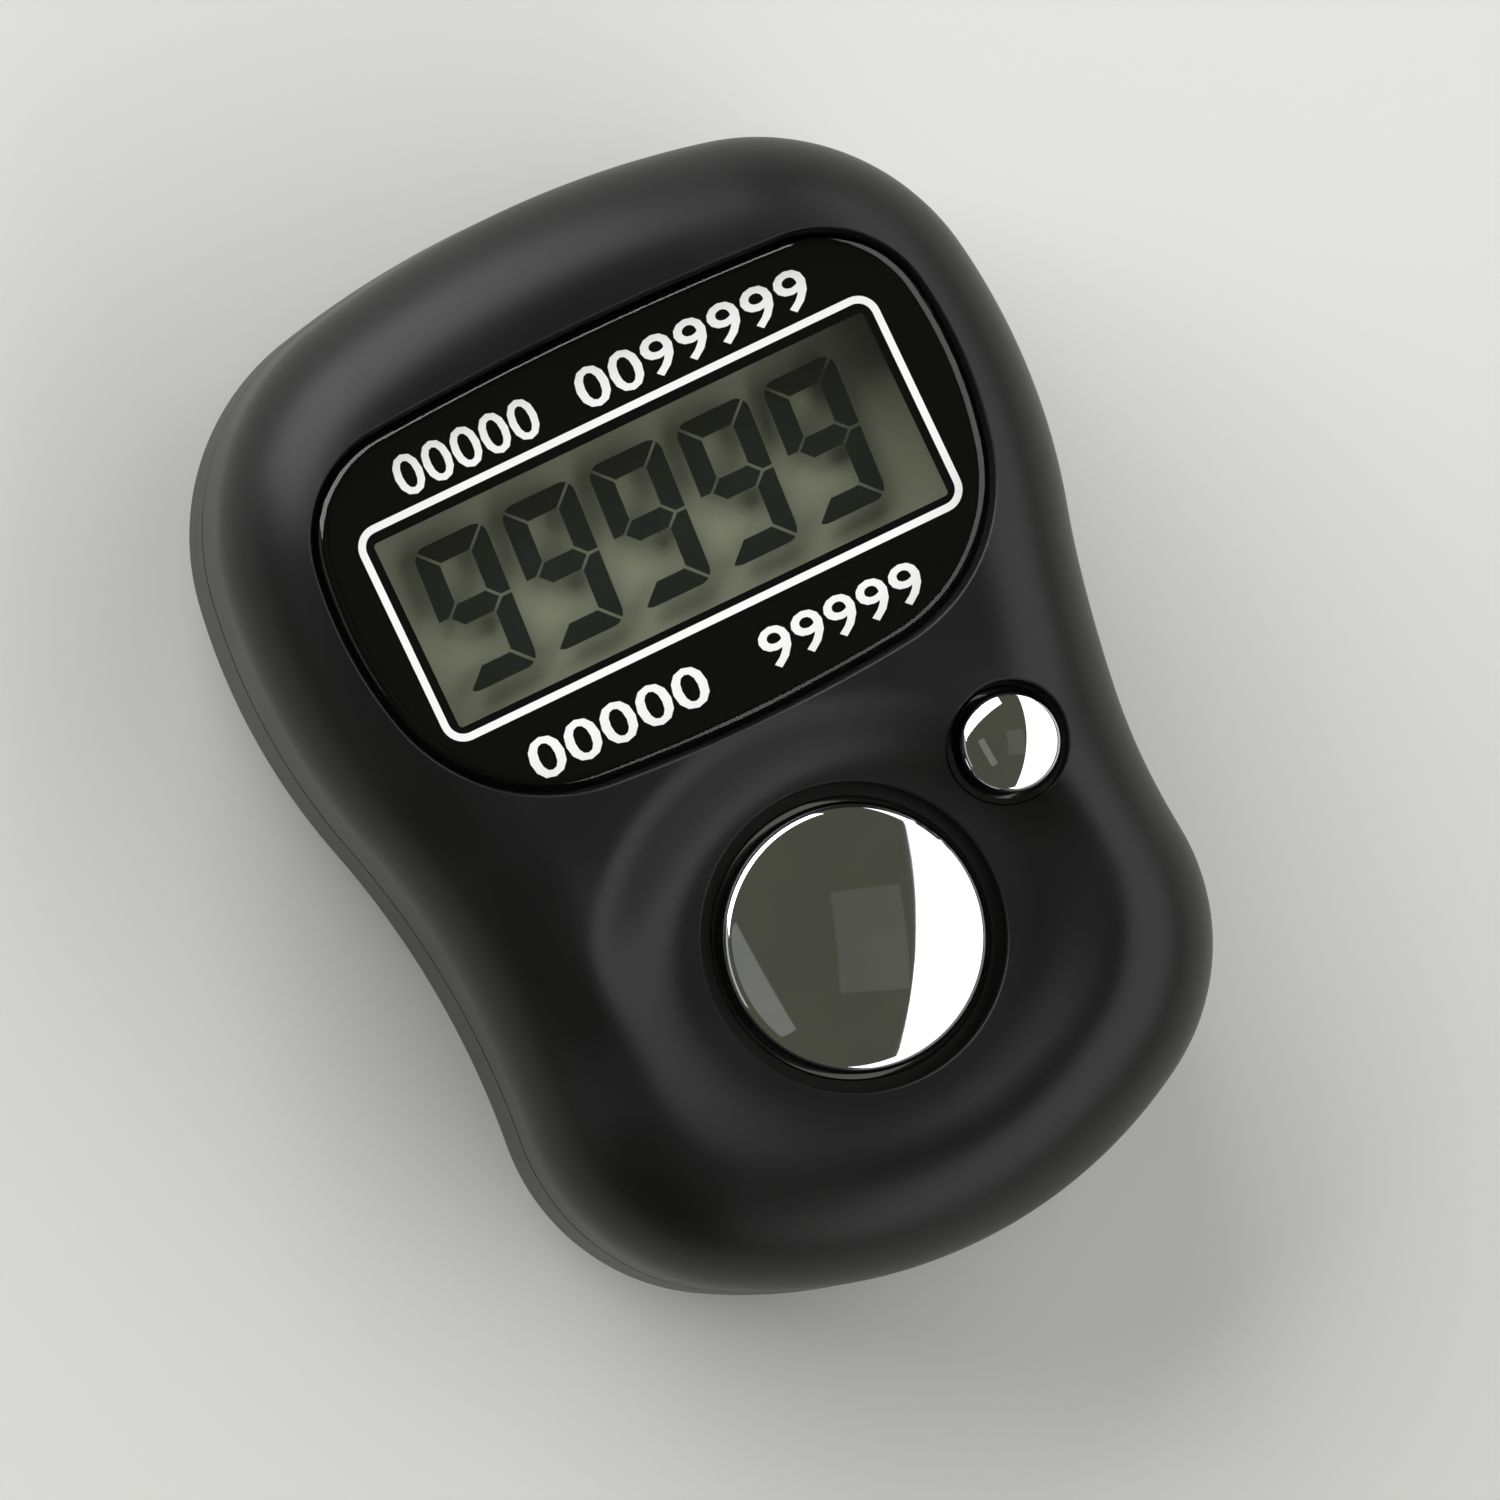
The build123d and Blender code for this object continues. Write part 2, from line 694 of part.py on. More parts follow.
for places, size, label in (
    (capacitor_places, capacitor_size, "chip_capacitors"),
    (resistor_places, resistor_size, "chip_resistors"),
):
    with BuildPart() as passives:
        with BuildSketch(Plane.XY.offset(board_bottom - size[2])):
            with Locations(places):
                Rectangle(size[0], size[1])
        extrude(amount=size[2])
    export(passives, label)


# ---------------------------------------------------------------- buttons and switch pads
def make_button(place, radius, crown, sag, shoulder, overhang, stem_radius, label):
    """A plated cap: a dome with a rounded shoulder, a hollow skirt with a stop flange, and a stem."""
    crown_radius = (radius**2 + sag**2) / (2 * sag)
    turn = degrees(2 * atan(sag / radius))
    with BuildPart() as button:
        with BuildSketch(section_plane(place)):
            with BuildLine():
                dome = JernArc((0, crown), (1, 0), crown_radius, -turn)
                Polyline(
                    dome @ 1,
                    (radius, flange_top),
                    (radius + overhang, flange_top),
                    (radius + overhang, flange_top - flange_thickness),
                    (radius - button_wall, flange_top - flange_thickness),
                    (radius - button_wall, crown - sag - shoulder - button_wall / 2),
                    (stem_radius, crown - sag - shoulder - button_wall / 2),
                    (stem_radius, stem_foot),
                    (0, stem_foot),
                    (0, crown),
                )
            make_face()
            corner = vertices().sort_by(lambda v: abs(v.X - radius) + abs(v.Y - crown + sag))[0]
            fillet(corner, shoulder)
        revolve(axis=upright(place))
    export(button, label)


def make_pad(place, radius, plunger_radius, label):
    """A silicone switch dome that stands on the board under a button's stem."""
    with BuildPart() as pad:
        with BuildSketch(section_plane(place)):
            with BuildLine():
                Polyline(
                    (0, pad_top),
                    (plunger_radius, pad_top),
                    (radius - 2 * pad_wall, board_top + pad_base_thickness),
                    (radius, board_top + pad_base_thickness),
                    (radius, board_top),
                    (radius - 3 * pad_wall, board_top),
                    (plunger_radius - pad_wall, pad_top - 2 * pad_wall),
                    (0, pad_top - 2 * pad_wall),
                    close=True,
                )
            make_face()
        revolve(axis=upright(place))
    export(pad, label)


make_button(
    count_place, count_cap_radius, count_lip + count_cap_proud, count_crown_sag,
    count_shoulder_radius, count_flange_overhang, count_stem_radius, "count_button",
)
make_button(
    reset_place, reset_cap_radius, reset_lip + reset_cap_proud, reset_crown_sag,
    reset_shoulder_radius, reset_flange_overhang, reset_stem_radius, "reset_button",
)
make_pad(count_place, count_pad_radius, count_stem_radius + pad_wall, "count_switch_pad")
make_pad(reset_place, reset_pad_radius, reset_stem_radius, "reset_switch_pad")


# ---------------------------------------------------------------- button cell and its contacts
with BuildPart() as battery_cell:
    with BuildSketch(level(cell_place, cell_bottom)):
        Circle(cell_radius)
    extrude(amount=cell_height - cell_step_height)
    fillet(battery_cell.edges(), cell_edge_radius)
    with BuildSketch(level(cell_place, cell_top - cell_step_height)):
        Circle(cell_step_radius)
    extrude(amount=cell_step_height)
export(battery_cell, "battery_cell")


def make_contact(points, width, label):
    """A stamped strip that follows points in the upright plane through the cell's centre."""
    with BuildPart() as contact:
        with BuildSketch(section_plane(cell_place)):
            with BuildLine():
                Polyline(*points)
            trace(line_width=contact_thickness)
        extrude(amount=width / 2, both=True)
    export(contact, label)


contact_level = board_bottom - contact_thickness / 2
spring_touch = cell_top + contact_gap + contact_thickness / 2
make_contact(
    [
        (clip_x + clip_foot_length, contact_level),
        (clip_x, contact_level),
        (clip_x, collar_top + contact_thickness),
    ],
    contact_width,
    "battery_positive_clip",
)
make_contact(
    [
        (-cell_step_radius - clip_foot_length, contact_level),
        (-cell_step_radius, contact_level),
        (-contact_width / 2, spring_touch),
        (0, spring_touch),
        (contact_width / 2, spring_touch + contact_width / 3),
    ],
    contact_width,
    "battery_negative_spring",
)


# ---------------------------------------------------------------- bayonet cap
plate_top = cap_recess + cap_plate_thickness
with BuildPart() as battery_cap:
    with BuildSketch(level(cell_place, cap_recess)):
        Circle(cap_radius)
    extrude(amount=cap_plate_thickness)
    chamfer(battery_cap.edges().group_by(Axis.Z)[0], cap_mark_depth)
    with BuildSketch(level(cell_place, plate_top)):
        Circle(ring_outer_radius)
        Circle(ring_inner_radius, mode=Mode.SUBTRACT)
    extrude(amount=lug_floor + cap_lug_thickness - plate_top)
    with BuildSketch(level(cell_place, lug_floor)):
        for heading in lug_headings:
            add(sector(lug_radius, cap_lug_angle, heading))
        Circle((ring_inner_radius + ring_outer_radius) / 2, mode=Mode.SUBTRACT)
    extrude(amount=cap_lug_thickness)
    with BuildSketch(level(cell_place, cap_recess)):
        SlotOverall(coin_slot_length, coin_slot_width)
    extrude(amount=coin_slot_depth, mode=Mode.SUBTRACT)
    with BuildSketch(level(cell_place, cap_recess)):
        with PolarLocations(cap_radius - cap_mark_inset, 1, mark_heading):
            Circle(cap_mark_radius)
    extrude(amount=cap_mark_depth, mode=Mode.SUBTRACT)
export(battery_cap, "battery_cap")


# ---------------------------------------------------------------- fasteners
for places, head_floor, head_radius, head_height, radius, length, label in (
    (
        case_screw_places, case_screw_recess - screw_head_height, screw_head_radius,
        screw_head_height, screw_radius, case_screw_length, "case_screws",
    ),
    (
        board_screw_places, board_bottom - board_screw_head_height, board_screw_head_radius,
        board_screw_head_height, board_screw_radius, board_screw_length, "board_screws",
    ),
):
    with BuildPart() as screws:
        with BuildSketch(Plane.XY.offset(head_floor)):
            with Locations(places):
                Circle(head_radius)
        extrude(amount=head_height)
        chamfer(screws.edges().group_by(Axis.Z)[0], driver_slot_depth / 2)
        with BuildSketch(Plane.XY.offset(head_floor + head_height)):
            with Locations(places):
                Circle(radius)
        extrude(amount=length)
        chamfer(screws.edges().group_by(Axis.Z)[-1], radius / 2)
        with BuildSketch(Plane.XY.offset(head_floor)):
            with Locations(places):
                Rectangle(head_radius * driver_slot_share, driver_slot_width)
                Rectangle(driver_slot_width, head_radius * driver_slot_share)
        extrude(amount=driver_slot_depth, mode=Mode.SUBTRACT)
    export(screws, label)
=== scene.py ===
import math

import bmesh
import bpy
from mathutils import Matrix, Vector


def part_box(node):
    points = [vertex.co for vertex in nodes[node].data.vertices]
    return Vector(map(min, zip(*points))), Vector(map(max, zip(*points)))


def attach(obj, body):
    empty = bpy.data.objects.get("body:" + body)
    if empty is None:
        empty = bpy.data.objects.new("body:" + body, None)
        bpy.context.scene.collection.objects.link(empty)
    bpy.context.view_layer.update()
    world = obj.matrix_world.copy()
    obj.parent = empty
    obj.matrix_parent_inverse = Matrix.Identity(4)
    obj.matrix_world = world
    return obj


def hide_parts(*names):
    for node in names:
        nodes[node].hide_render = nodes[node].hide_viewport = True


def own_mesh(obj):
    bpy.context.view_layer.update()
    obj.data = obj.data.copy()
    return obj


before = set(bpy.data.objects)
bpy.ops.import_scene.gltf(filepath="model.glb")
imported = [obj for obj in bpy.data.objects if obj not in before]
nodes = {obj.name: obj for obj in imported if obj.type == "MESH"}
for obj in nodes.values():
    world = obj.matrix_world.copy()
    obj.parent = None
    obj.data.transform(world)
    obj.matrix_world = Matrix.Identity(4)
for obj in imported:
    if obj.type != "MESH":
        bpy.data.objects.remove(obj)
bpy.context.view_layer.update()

mm = 0.001
overrun = 1.0  # cutters run this many millimetres past what they cut,
shortOverrun = 0.1  # or this many, where there is little room
print("frame loaded:", len(nodes), "pieces")


# small tools for modelling; a piece is shaped in millimetres and goes to metres when it is seated
def clearSelection():
    if bpy.context.mode != "OBJECT":
        bpy.ops.object.mode_set(mode="OBJECT")
    bpy.ops.object.select_all(action="DESELECT")


def makeActive(piece):
    clearSelection()
    piece.select_set(True)
    bpy.context.view_layer.objects.active = piece


def placeRing(piece, ring):
    mesh = bmesh.from_edit_mesh(piece.data)
    column = mesh.verts.layers.int["column"]
    for vert in mesh.verts:
        if vert.select:
            vert.co = ring[vert[column]]
    bmesh.update_edit_mesh(piece.data)


def stackRings(name, rings):
    # a filled circle, extruded once for each ring and set on its points
    clearSelection()
    bpy.ops.mesh.primitive_circle_add(vertices=len(rings[0]), radius=1, fill_type="NGON")
    piece = bpy.context.object
    piece.name = name
    bpy.ops.object.mode_set(mode="EDIT")
    mesh = bmesh.from_edit_mesh(piece.data)
    column = mesh.verts.layers.int.new("column")
    for vert in mesh.verts:
        vert[column] = vert.index
        vert.select = True
    mesh.select_flush(True)
    placeRing(piece, rings[0])
    for ring in rings[1:]:
        bpy.ops.mesh.extrude_region_move()
        placeRing(piece, ring)
    tidyMesh(piece)
    piece.data.attributes.remove(piece.data.attributes["column"])
    return piece


def tidyMesh(piece, gap=0.0002):
    makeActive(piece)
    bpy.ops.object.mode_set(mode="EDIT")
    bpy.ops.mesh.select_all(action="SELECT")
    bpy.ops.mesh.remove_doubles(threshold=gap)
    bpy.ops.mesh.normals_make_consistent(inside=False)
    bpy.ops.object.mode_set(mode="OBJECT")


def cutWith(piece, cutters, operation="DIFFERENCE"):
    for cutter in cutters:
        makeActive(piece)
        modifier = piece.modifiers.new("cut", "BOOLEAN")
        modifier.operation = operation
        modifier.solver = "EXACT"
        modifier.object = cutter
        bpy.ops.object.modifier_apply(modifier=modifier.name)
        bpy.data.objects.remove(cutter, do_unlink=True)


def seat(piece, body, replaced=None, angle=30):
    # smooth, in metres, and on its body; the larger faces keep their own lie
    makeActive(piece)
    bpy.ops.object.shade_smooth_by_angle(angle=math.radians(angle))
    modifier = piece.modifiers.new("normals", "WEIGHTED_NORMAL")
    modifier.keep_sharp = True
    bpy.ops.object.modifier_apply(modifier=modifier.name)
    piece.data.transform(Matrix.Scale(mm, 4))
    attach(piece, body)
    if replaced:
        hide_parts(replaced)


def joinPieces(pieces, name):
    makeActive(pieces[0])
    for piece in pieces[1:]:
        piece.select_set(True)
    bpy.ops.object.join()
    pieces[0].name = name
    return pieces[0]


def circleRing(place, radius, height, count=128):
    turns = [2 * math.pi * step / count for step in range(count)]
    return [
        (place[0] + radius * math.cos(turn), place[1] + radius * math.sin(turn), height)
        for turn in turns
    ]


def turned(name, place, profile, count=128):
    # what a lathe would make: radius and height, point by point
    rings = [circleRing(place, radius, height, count) for radius, height in profile]
    return stackRings(name, rings)


def evenSteps(start, stop, steps):
    return [start + (stop - start) * step / steps for step in range(steps + 1)]


def block(name, width, depth, place, low, high, corner=0.0, cornerSteps=8):
    # an upright block with rounded corners
    steps = cornerSteps if corner else 0
    ring = []
    for signX, signY, first in ((1, 1, 0), (-1, 1, 90), (-1, -1, 180), (1, -1, 270)):
        for step in range(steps + 1):
            turn = math.radians(first + 90 * step / max(steps, 1))
            x = place[0] + signX * (width / 2 - corner) + corner * math.cos(turn)
            y = place[1] + signY * (depth / 2 - corner) + corner * math.sin(turn)
            ring.append((x, y))
    return stackRings(name, [[(x, y, height) for x, y in ring] for height in (low, high)])


# places from the frame, in millimetres
def corners(node):
    low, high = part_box(node)
    return low / mm, high / mm


def centre(node):
    low, high = corners(node)
    return ((low.x + high.x) / 2, (low.y + high.y) / 2)


shellLow, shellHigh = corners("front_shell")
lensLow, lensHigh = corners("display_lens")
countPlace = centre("count_button")
resetPlace = centre("reset_button")
partingHeight = shellLow.z
boardTop = corners("circuit_board")[1].z


# outlines: half of each is a chain of tangent arcs, given from the top centre to the foot centre
def bearing(start, end):
    return math.degrees(math.atan2(end[1] - start[1], end[0] - start[0]))


def nestedCentre(centreA, radiusA, centreB, radiusB, radius):
    # where a small arc sits that touches two larger ones from inside
    reachA = radiusA - radius
    reachB = radiusB - radius
    gapX, gapY = centreB[0] - centreA[0], centreB[1] - centreA[1]
    gap = math.hypot(gapX, gapY)
    along = (reachA**2 - reachB**2 + gap**2) / (2 * gap)
    aside = math.sqrt(reachA**2 - along**2)
    foot = (centreA[0] + along * gapX / gap, centreA[1] + along * gapY / gap)
    places = [
        (foot[0] + side * aside * gapY / gap, foot[1] - side * aside * gapX / gap)
        for side in (1, -1)
    ]
    return max(places)  # of the two, the one further from the middle line


case = {
    "topArc": 35.0,
    "shoulder": 8.7,
    "widestStation": 0.292,  # stations are shares of the length, counted from the top
    "waistStation": 0.666,
    "hipStation": 0.768,
    "waistInset": 2.1,
    "hip": 7.9,
    "sideShare": 0.42,  # the side arc's part of the side's and the waist's radii together
    "frontRoll": 4.5,
    "backRoll": 3.4,
    "backStrip": 0.3,  # the flat back starts with a strip this wide
    "thumbDrop": 1.2,  # the face is this much lower at the buttons
    "slopeLength": 8.4,
    "slopeStart": 0.3,  # below the lens
    "dishFloor": 12.1,  # height of the thumb dish where it is deepest
    "dishInner": 5.5,
    "dishOuter": 8.8,
    "dishStretch": 1.14,  # the dish is this much wider than it is long
    "wall": 1.2,
    "seamBevel": 0.08,
    "tongue": 0.55,
    "tongueHeight": 0.8,
    "tongueBevel": 0.1,
    "fit": 0.1,
    "innerFace": 10.2,
    "columns": 440,
    "innerColumns": 240,
    "rollSteps": 22,
    "innerRollSteps": 8,
    "faceSteps": 38,
    "spineReach": 0.62,  # the face's rings close on a line this share of their length
}


def caseArcs():
    top, foot, halfWidth = shellHigh.y, shellLow.y, shellHigh.x
    length = top - foot
    widestY = top - case["widestStation"] * length
    waistY = top - case["waistStation"] * length
    hipY = top - case["hipStation"] * length
    # the side arc and the waist arc bend opposite ways, so their radii add up
    bothRadii = (case["waistInset"] ** 2 + (widestY - waistY) ** 2) / (2 * case["waistInset"])
    sideRadius = bothRadii * case["sideShare"]
    waistRadius = bothRadii - sideRadius
    crown = (0.0, top - case["topArc"])
    side = (halfWidth - sideRadius, widestY)
    waist = (halfWidth - case["waistInset"] + waistRadius, waistY)
    shoulder = nestedCentre(crown, case["topArc"], side, sideRadius, case["shoulder"])
    hipX = waist[0] - math.sqrt((waistRadius + case["hip"]) ** 2 - (waistY - hipY) ** 2)
    hip = (hipX, hipY)
    rise = hipY - foot
    footRadius = (hipX**2 + rise**2 - case["hip"] ** 2) / (2 * (rise - case["hip"]))
    base = (0.0, foot + footRadius)
    crownEnd = bearing(crown, shoulder)
    shoulderEnd = bearing(side, shoulder)
    sideEnd = bearing(side, waist)
    waistEnd = bearing(waist, hip) % 360
    hipEnd = bearing(base, hip)
    # each arc: centre, radius, first and last bearing, and 1 if it bulges or -1 if it is hollow
    return [
        (crown, case["topArc"], 90, crownEnd, 1),
        (shoulder, case["shoulder"], crownEnd, shoulderEnd, 1),
        (side, sideRadius, shoulderEnd, sideEnd, 1),
        (waist, waistRadius, sideEnd + 180, waistEnd, -1),
        (hip, case["hip"], waistEnd - 180, hipEnd, 1),
        (base, footRadius, hipEnd, -90, 1),
    ]


lens = {
    "topArc": 120.0,
    "sideArc": 15.0,
    "footArc": 60.0,
    "shoulder": 4.2,
    "corner": 6.6,
    "widestShare": 0.41,  # of the height, counted from the top
    "gap": 0.1,  # between the lens and its recess
    "tape": 0.15,  # thickness of the tape under it
    "edge": 0.55,  # radius of the rounded front edge
    "edgeSteps": 16,
    "edgeStrip": 0.1,  # the flat front starts with a strip this wide
    "footBevel": 0.06,
    "footInset": 0.4,
    "columns": 360,
    "windowWidth": 19.3,
    "windowHeight": 7.1,
    "windowBelowTop": 3.8,
}


def lensArcs():
    top, foot, halfWidth = lensHigh.y, lensLow.y, lensHigh.x
    crown = (0.0, top - lens["topArc"])
    side = (halfWidth - lens["sideArc"], top - lens["widestShare"] * (top - foot))
    base = (0.0, foot + lens["footArc"])
    shoulder = nestedCentre(crown, lens["topArc"], side, lens["sideArc"], lens["shoulder"])
    corner = nestedCentre(side, lens["sideArc"], base, lens["footArc"], lens["corner"])
    crownEnd = bearing(crown, shoulder)
    shoulderEnd = bearing(side, shoulder)
    sideEnd = bearing(side, corner)
    cornerEnd = bearing(base, corner)
    return [
        (crown, lens["topArc"], 90, crownEnd, 1),
        (shoulder, lens["shoulder"], crownEnd, shoulderEnd, 1),
        (side, lens["sideArc"], shoulderEnd, sideEnd, 1),
        (corner, lens["corner"], sideEnd, cornerEnd, 1),
        (base, lens["footArc"], cornerEnd, -90, 1),
    ]


def outline(arcs, inset, count):
    # points round the outline moved in by inset, clockwise from the top centre;
    # each point keeps its place on its arc, whatever the inset
    lengths = [
        abs(math.radians(stop - start)) * radius for _, radius, start, stop, _ in arcs
    ]
    half = []
    for (place, radius, start, stop, side), length in zip(arcs, lengths):
        steps = max(2, round(count / 2 * length / sum(lengths)))
        for step in range(steps):
            turn = math.radians(start + (stop - start) * step / steps)
            reach = radius - side * inset
            half.append((place[0] + reach * math.cos(turn), place[1] + reach * math.sin(turn)))
    place, radius = arcs[-1][:2]
    footPoint = (0.0, place[1] - radius + inset)
    half[0] = (0.0, half[0][1])
    return half + [footPoint] + [(-x, y) for x, y in reversed(half[1:])]


def insetAt(arcs, x, y):
    # how far inside the outline a point lies
    for place, radius, start, stop, side in arcs:
        turn = bearing(place, (abs(x), y))
        low, high = min(start, stop), max(start, stop)
        if any(low - 0.01 <= turn + lap <= high + 0.01 for lap in (-360, 0, 360)):
            return side * (radius - math.hypot(abs(x) - place[0], y - place[1]))
    return case["frontRoll"]


def crestAt(y):
    # level over the display, then an S of two arcs down to the buttons
    run = lensLow.y - case["slopeStart"] - y
    if run <= 0:
        return shellHigh.z
    turn = 2 * math.atan(case["thumbDrop"] / case["slopeLength"])
    bend = case["slopeLength"] / 2 / math.sin(turn)
    if run < case["slopeLength"] / 2:
        return shellHigh.z - bend + math.sqrt(bend**2 - run**2)
    rest = max(case["slopeLength"] - run, 0)
    return shellHigh.z - case["thumbDrop"] + bend - math.sqrt(bend**2 - rest**2)


def surfaceAt(x, y, inset):
    # height of the face: the rolled rim under the crest, with the thumb dish blended in
    reach = min(inset, case["frontRoll"])
    outside = case["frontRoll"] - reach
    drop = case["frontRoll"] - math.sqrt(case["frontRoll"] ** 2 - outside**2)
    height = crestAt(y) - drop
    away = math.hypot((x - countPlace[0]) / case["dishStretch"], y - countPlace[1])
    share = (away - case["dishInner"]) / (case["dishOuter"] - case["dishInner"])
    share = min(max(share, 0), 1)
    blend = share**2 * (3 - 2 * share)
    floor = min(case["dishFloor"], height)
    return floor + (height - floor) * blend


outerArcs = caseArcs()
lensOutline = lensArcs()


def caseRing(inset, height, count=case["columns"]):
    return [(x, y, height) for x, y in outline(outerArcs, inset, count)]


# front shell: a pillow that rolls over from its walls to its face
lips = {
    "round": 0.16,
    "endTurn": 60.0,  # a lip's round ends this steep, and cuts the face cleanly
    "steps": 5,
    "flare": 0.35,  # then its cutter widens by this much,
    "rises": (0.2, 1.5),  # and rises this far over the face
}
wells = {
    "gap": 0.15,  # between a cap and its hole
    "countLip": 0.5,
    "resetLip": 0.2,
    "countLedge": 11.4,  # height of the step round the hole
    "resetLedge": 12.6,
    "ledgeBevel": 0.08,
    "countCap": 4.8,
    "resetCap": 1.8,
    "sides": 192,
}
fasteners = {
    "caseScrews": [(8.0, 15.5), (-8.0, 15.5), (0.0, -16.6)],
    "boardScrews": [(9.7, -0.6), (-9.7, -0.6), (8.5, -12.0), (-8.5, -12.0)],
    "caseBoss": 1.7,
    "boardBoss": 1.3,
    "rearPillar": 2.25,
    "bossSides": 48,
    "casePilot": (0.68, 4.4),  # radius, depth
    "boardPilot": (0.51, 2.2),
    "pilotSides": 32,
    "recess": 1.7,
    "recessDepth": 1.6,
    "recessLip": [(0.4, -0.2), (0.2, 0.0), (0.05, 0.08), (0.0, 0.22)],  # out from its wall, height
    "recessSides": 64,
    "shankHole": 0.9,
}


def lippedRings(ringAt, floor):
    # an upright cutter that opens with a rounded lip where it meets the face
    def ringOver(offset, rise):
        return [
            (x, y, surfaceAt(x, y, insetAt(outerArcs, x, y)) + rise) for x, y in ringAt(offset)
        ]

    size, endTurn = lips["round"], math.radians(lips["endTurn"])
    rings = [[(x, y, floor) for x, y in ringAt(0)]]
    for turn in evenSteps(0, endTurn, lips["steps"]):
        rings.append(ringOver(
            size * (1 - math.cos(turn)), size * (math.sin(turn) - math.sin(endTurn)),
        ))
    flared = size * (1 - math.cos(endTurn)) + lips["flare"]
    return rings + [ringOver(flared, rise) for rise in lips["rises"]]


def frontBody():
    rings = [caseRing(case["seamBevel"], partingHeight)]
    rings.append(caseRing(0, partingHeight + case["seamBevel"]))
    roll = case["frontRoll"]
    for turn in evenSteps(0, math.pi / 2, case["rollSteps"])[:-1]:
        inset = roll * (1 - math.cos(turn))
        ring = outline(outerArcs, inset, case["columns"])
        rings.append([(x, y, surfaceAt(x, y, inset)) for x, y in ring])
    edge = outline(outerArcs, roll, case["columns"])
    for share in evenSteps(0, 1, case["faceSteps"]):
        ring = []
        for x, y in edge:
            newX = x * (1 - share)
            newY = y * (1 - share) + y * case["spineReach"] * share
            ring.append((newX, newY, surfaceAt(newX, newY, roll)))
        rings.append(ring)
    body = stackRings("front_case", rings)
    # the last ring has closed on the middle line, so its face goes; the foot's face stays
    makeActive(body)
    bpy.ops.object.mode_set(mode="EDIT")
    bpy.ops.mesh.select_all(action="DESELECT")
    mesh = bmesh.from_edit_mesh(body.data)
    for face in mesh.faces:
        manySided = len(face.verts) > 8
        face.select = manySided and face.calc_center_median().z > partingHeight + overrun
    bmesh.update_edit_mesh(body.data)
    bpy.ops.mesh.delete(type="ONLY_FACE")
    tidyMesh(body, 0.001)
    return body

frontShell = frontBody()
print("front shell: body", len(frontShell.data.polygons), "faces")


def frontCavity():
    # stepped for the rear shell's tongue, with the bosses left standing
    grooveInset = case["wall"] - case["tongue"] - case["fit"]
    grooveTop = partingHeight + case["tongueHeight"] + case["fit"]
    cavity = stackRings("front_cavity", [
        caseRing(inset, height, case["innerColumns"])
        for inset, height in (
            (grooveInset, partingHeight - overrun), (grooveInset, grooveTop),
            (case["wall"], grooveTop), (case["wall"], case["innerFace"]),
        )
    ])
    top = case["innerFace"] + overrun
    cutWith(cavity, [
        turned("boss", place, [(radius, foot), (radius, top)], fasteners["bossSides"])
        for places, radius, foot in (
            (fasteners["caseScrews"], fasteners["caseBoss"], partingHeight),
            (fasteners["boardScrews"], fasteners["boardBoss"], boardTop),
        )
        for place in places
    ])
    return cavity


pocket = {
    "gap": 0.3,  # it is larger than the holder by this much
    "top": 11.35,
    "openingWidth": 1.2,  # the opening is larger than the window by this much
    "openingHeight": 1.0,
    "openingCorner": 0.4,
    "openingRise": 0.5,  # it runs this far into the lens's recess
}


def displayPocket():
    holderLow, holderHigh = corners("lcd_holder")
    room = block(
        "display_pocket",
        holderHigh.x - holderLow.x + pocket["gap"], holderHigh.y - holderLow.y + pocket["gap"],
        centre("lcd_holder"), partingHeight - overrun, pocket["top"],
    )
    opening = block(
        "window_opening",
        lens["windowWidth"] + pocket["openingWidth"],
        lens["windowHeight"] + pocket["openingHeight"],
        windowCentre, partingHeight, lensLow.z + pocket["openingRise"], pocket["openingCorner"],
    )
    return [room, opening]


def lensRecess():
    def ringAt(offset):
        return outline(lensOutline, -lens["gap"] - offset, lens["columns"])

    return stackRings("lens_recess", lippedRings(ringAt, lensLow.z - lens["tape"]))


def buttonWell(place, capRadius, lipWidth, ledge, name):
    hole, bevel, sides = capRadius + wells["gap"], wells["ledgeBevel"], wells["sides"]

    def ringAt(offset):
        return [(x, y) for x, y, _ in circleRing(place, hole + lipWidth + offset, 0, sides)]

    through = [
        circleRing(place, hole, partingHeight, sides),
        circleRing(place, hole, ledge - bevel, sides),
        circleRing(place, hole + bevel, ledge, sides),
    ]
    return stackRings(name, through + lippedRings(ringAt, ledge))


windowTop = lensHigh.y - lens["windowBelowTop"]
windowCentre = (0.0, windowTop - lens["windowHeight"] / 2)

cutWith(frontShell, [frontCavity()] + displayPocket() + [lensRecess()])
cutWith(frontShell, [
    buttonWell(countPlace, wells["countCap"], wells["countLip"], wells["countLedge"], "count_well"),
    buttonWell(resetPlace, wells["resetCap"], wells["resetLip"], wells["resetLedge"], "reset_well"),
])
cutWith(frontShell, [
    turned(
        "pilot", place, [(radius, foot - shortOverrun), (radius, foot + depth)],
        fasteners["pilotSides"],
    )
    for places, (radius, depth), foot in (
        (fasteners["caseScrews"], fasteners["casePilot"], partingHeight),
        (fasteners["boardScrews"], fasteners["boardPilot"], boardTop),
    )
    for place in places
])
seat(frontShell, "case", "front_shell", 24)
print("front shell: cut", len(frontShell.data.polygons), "faces")


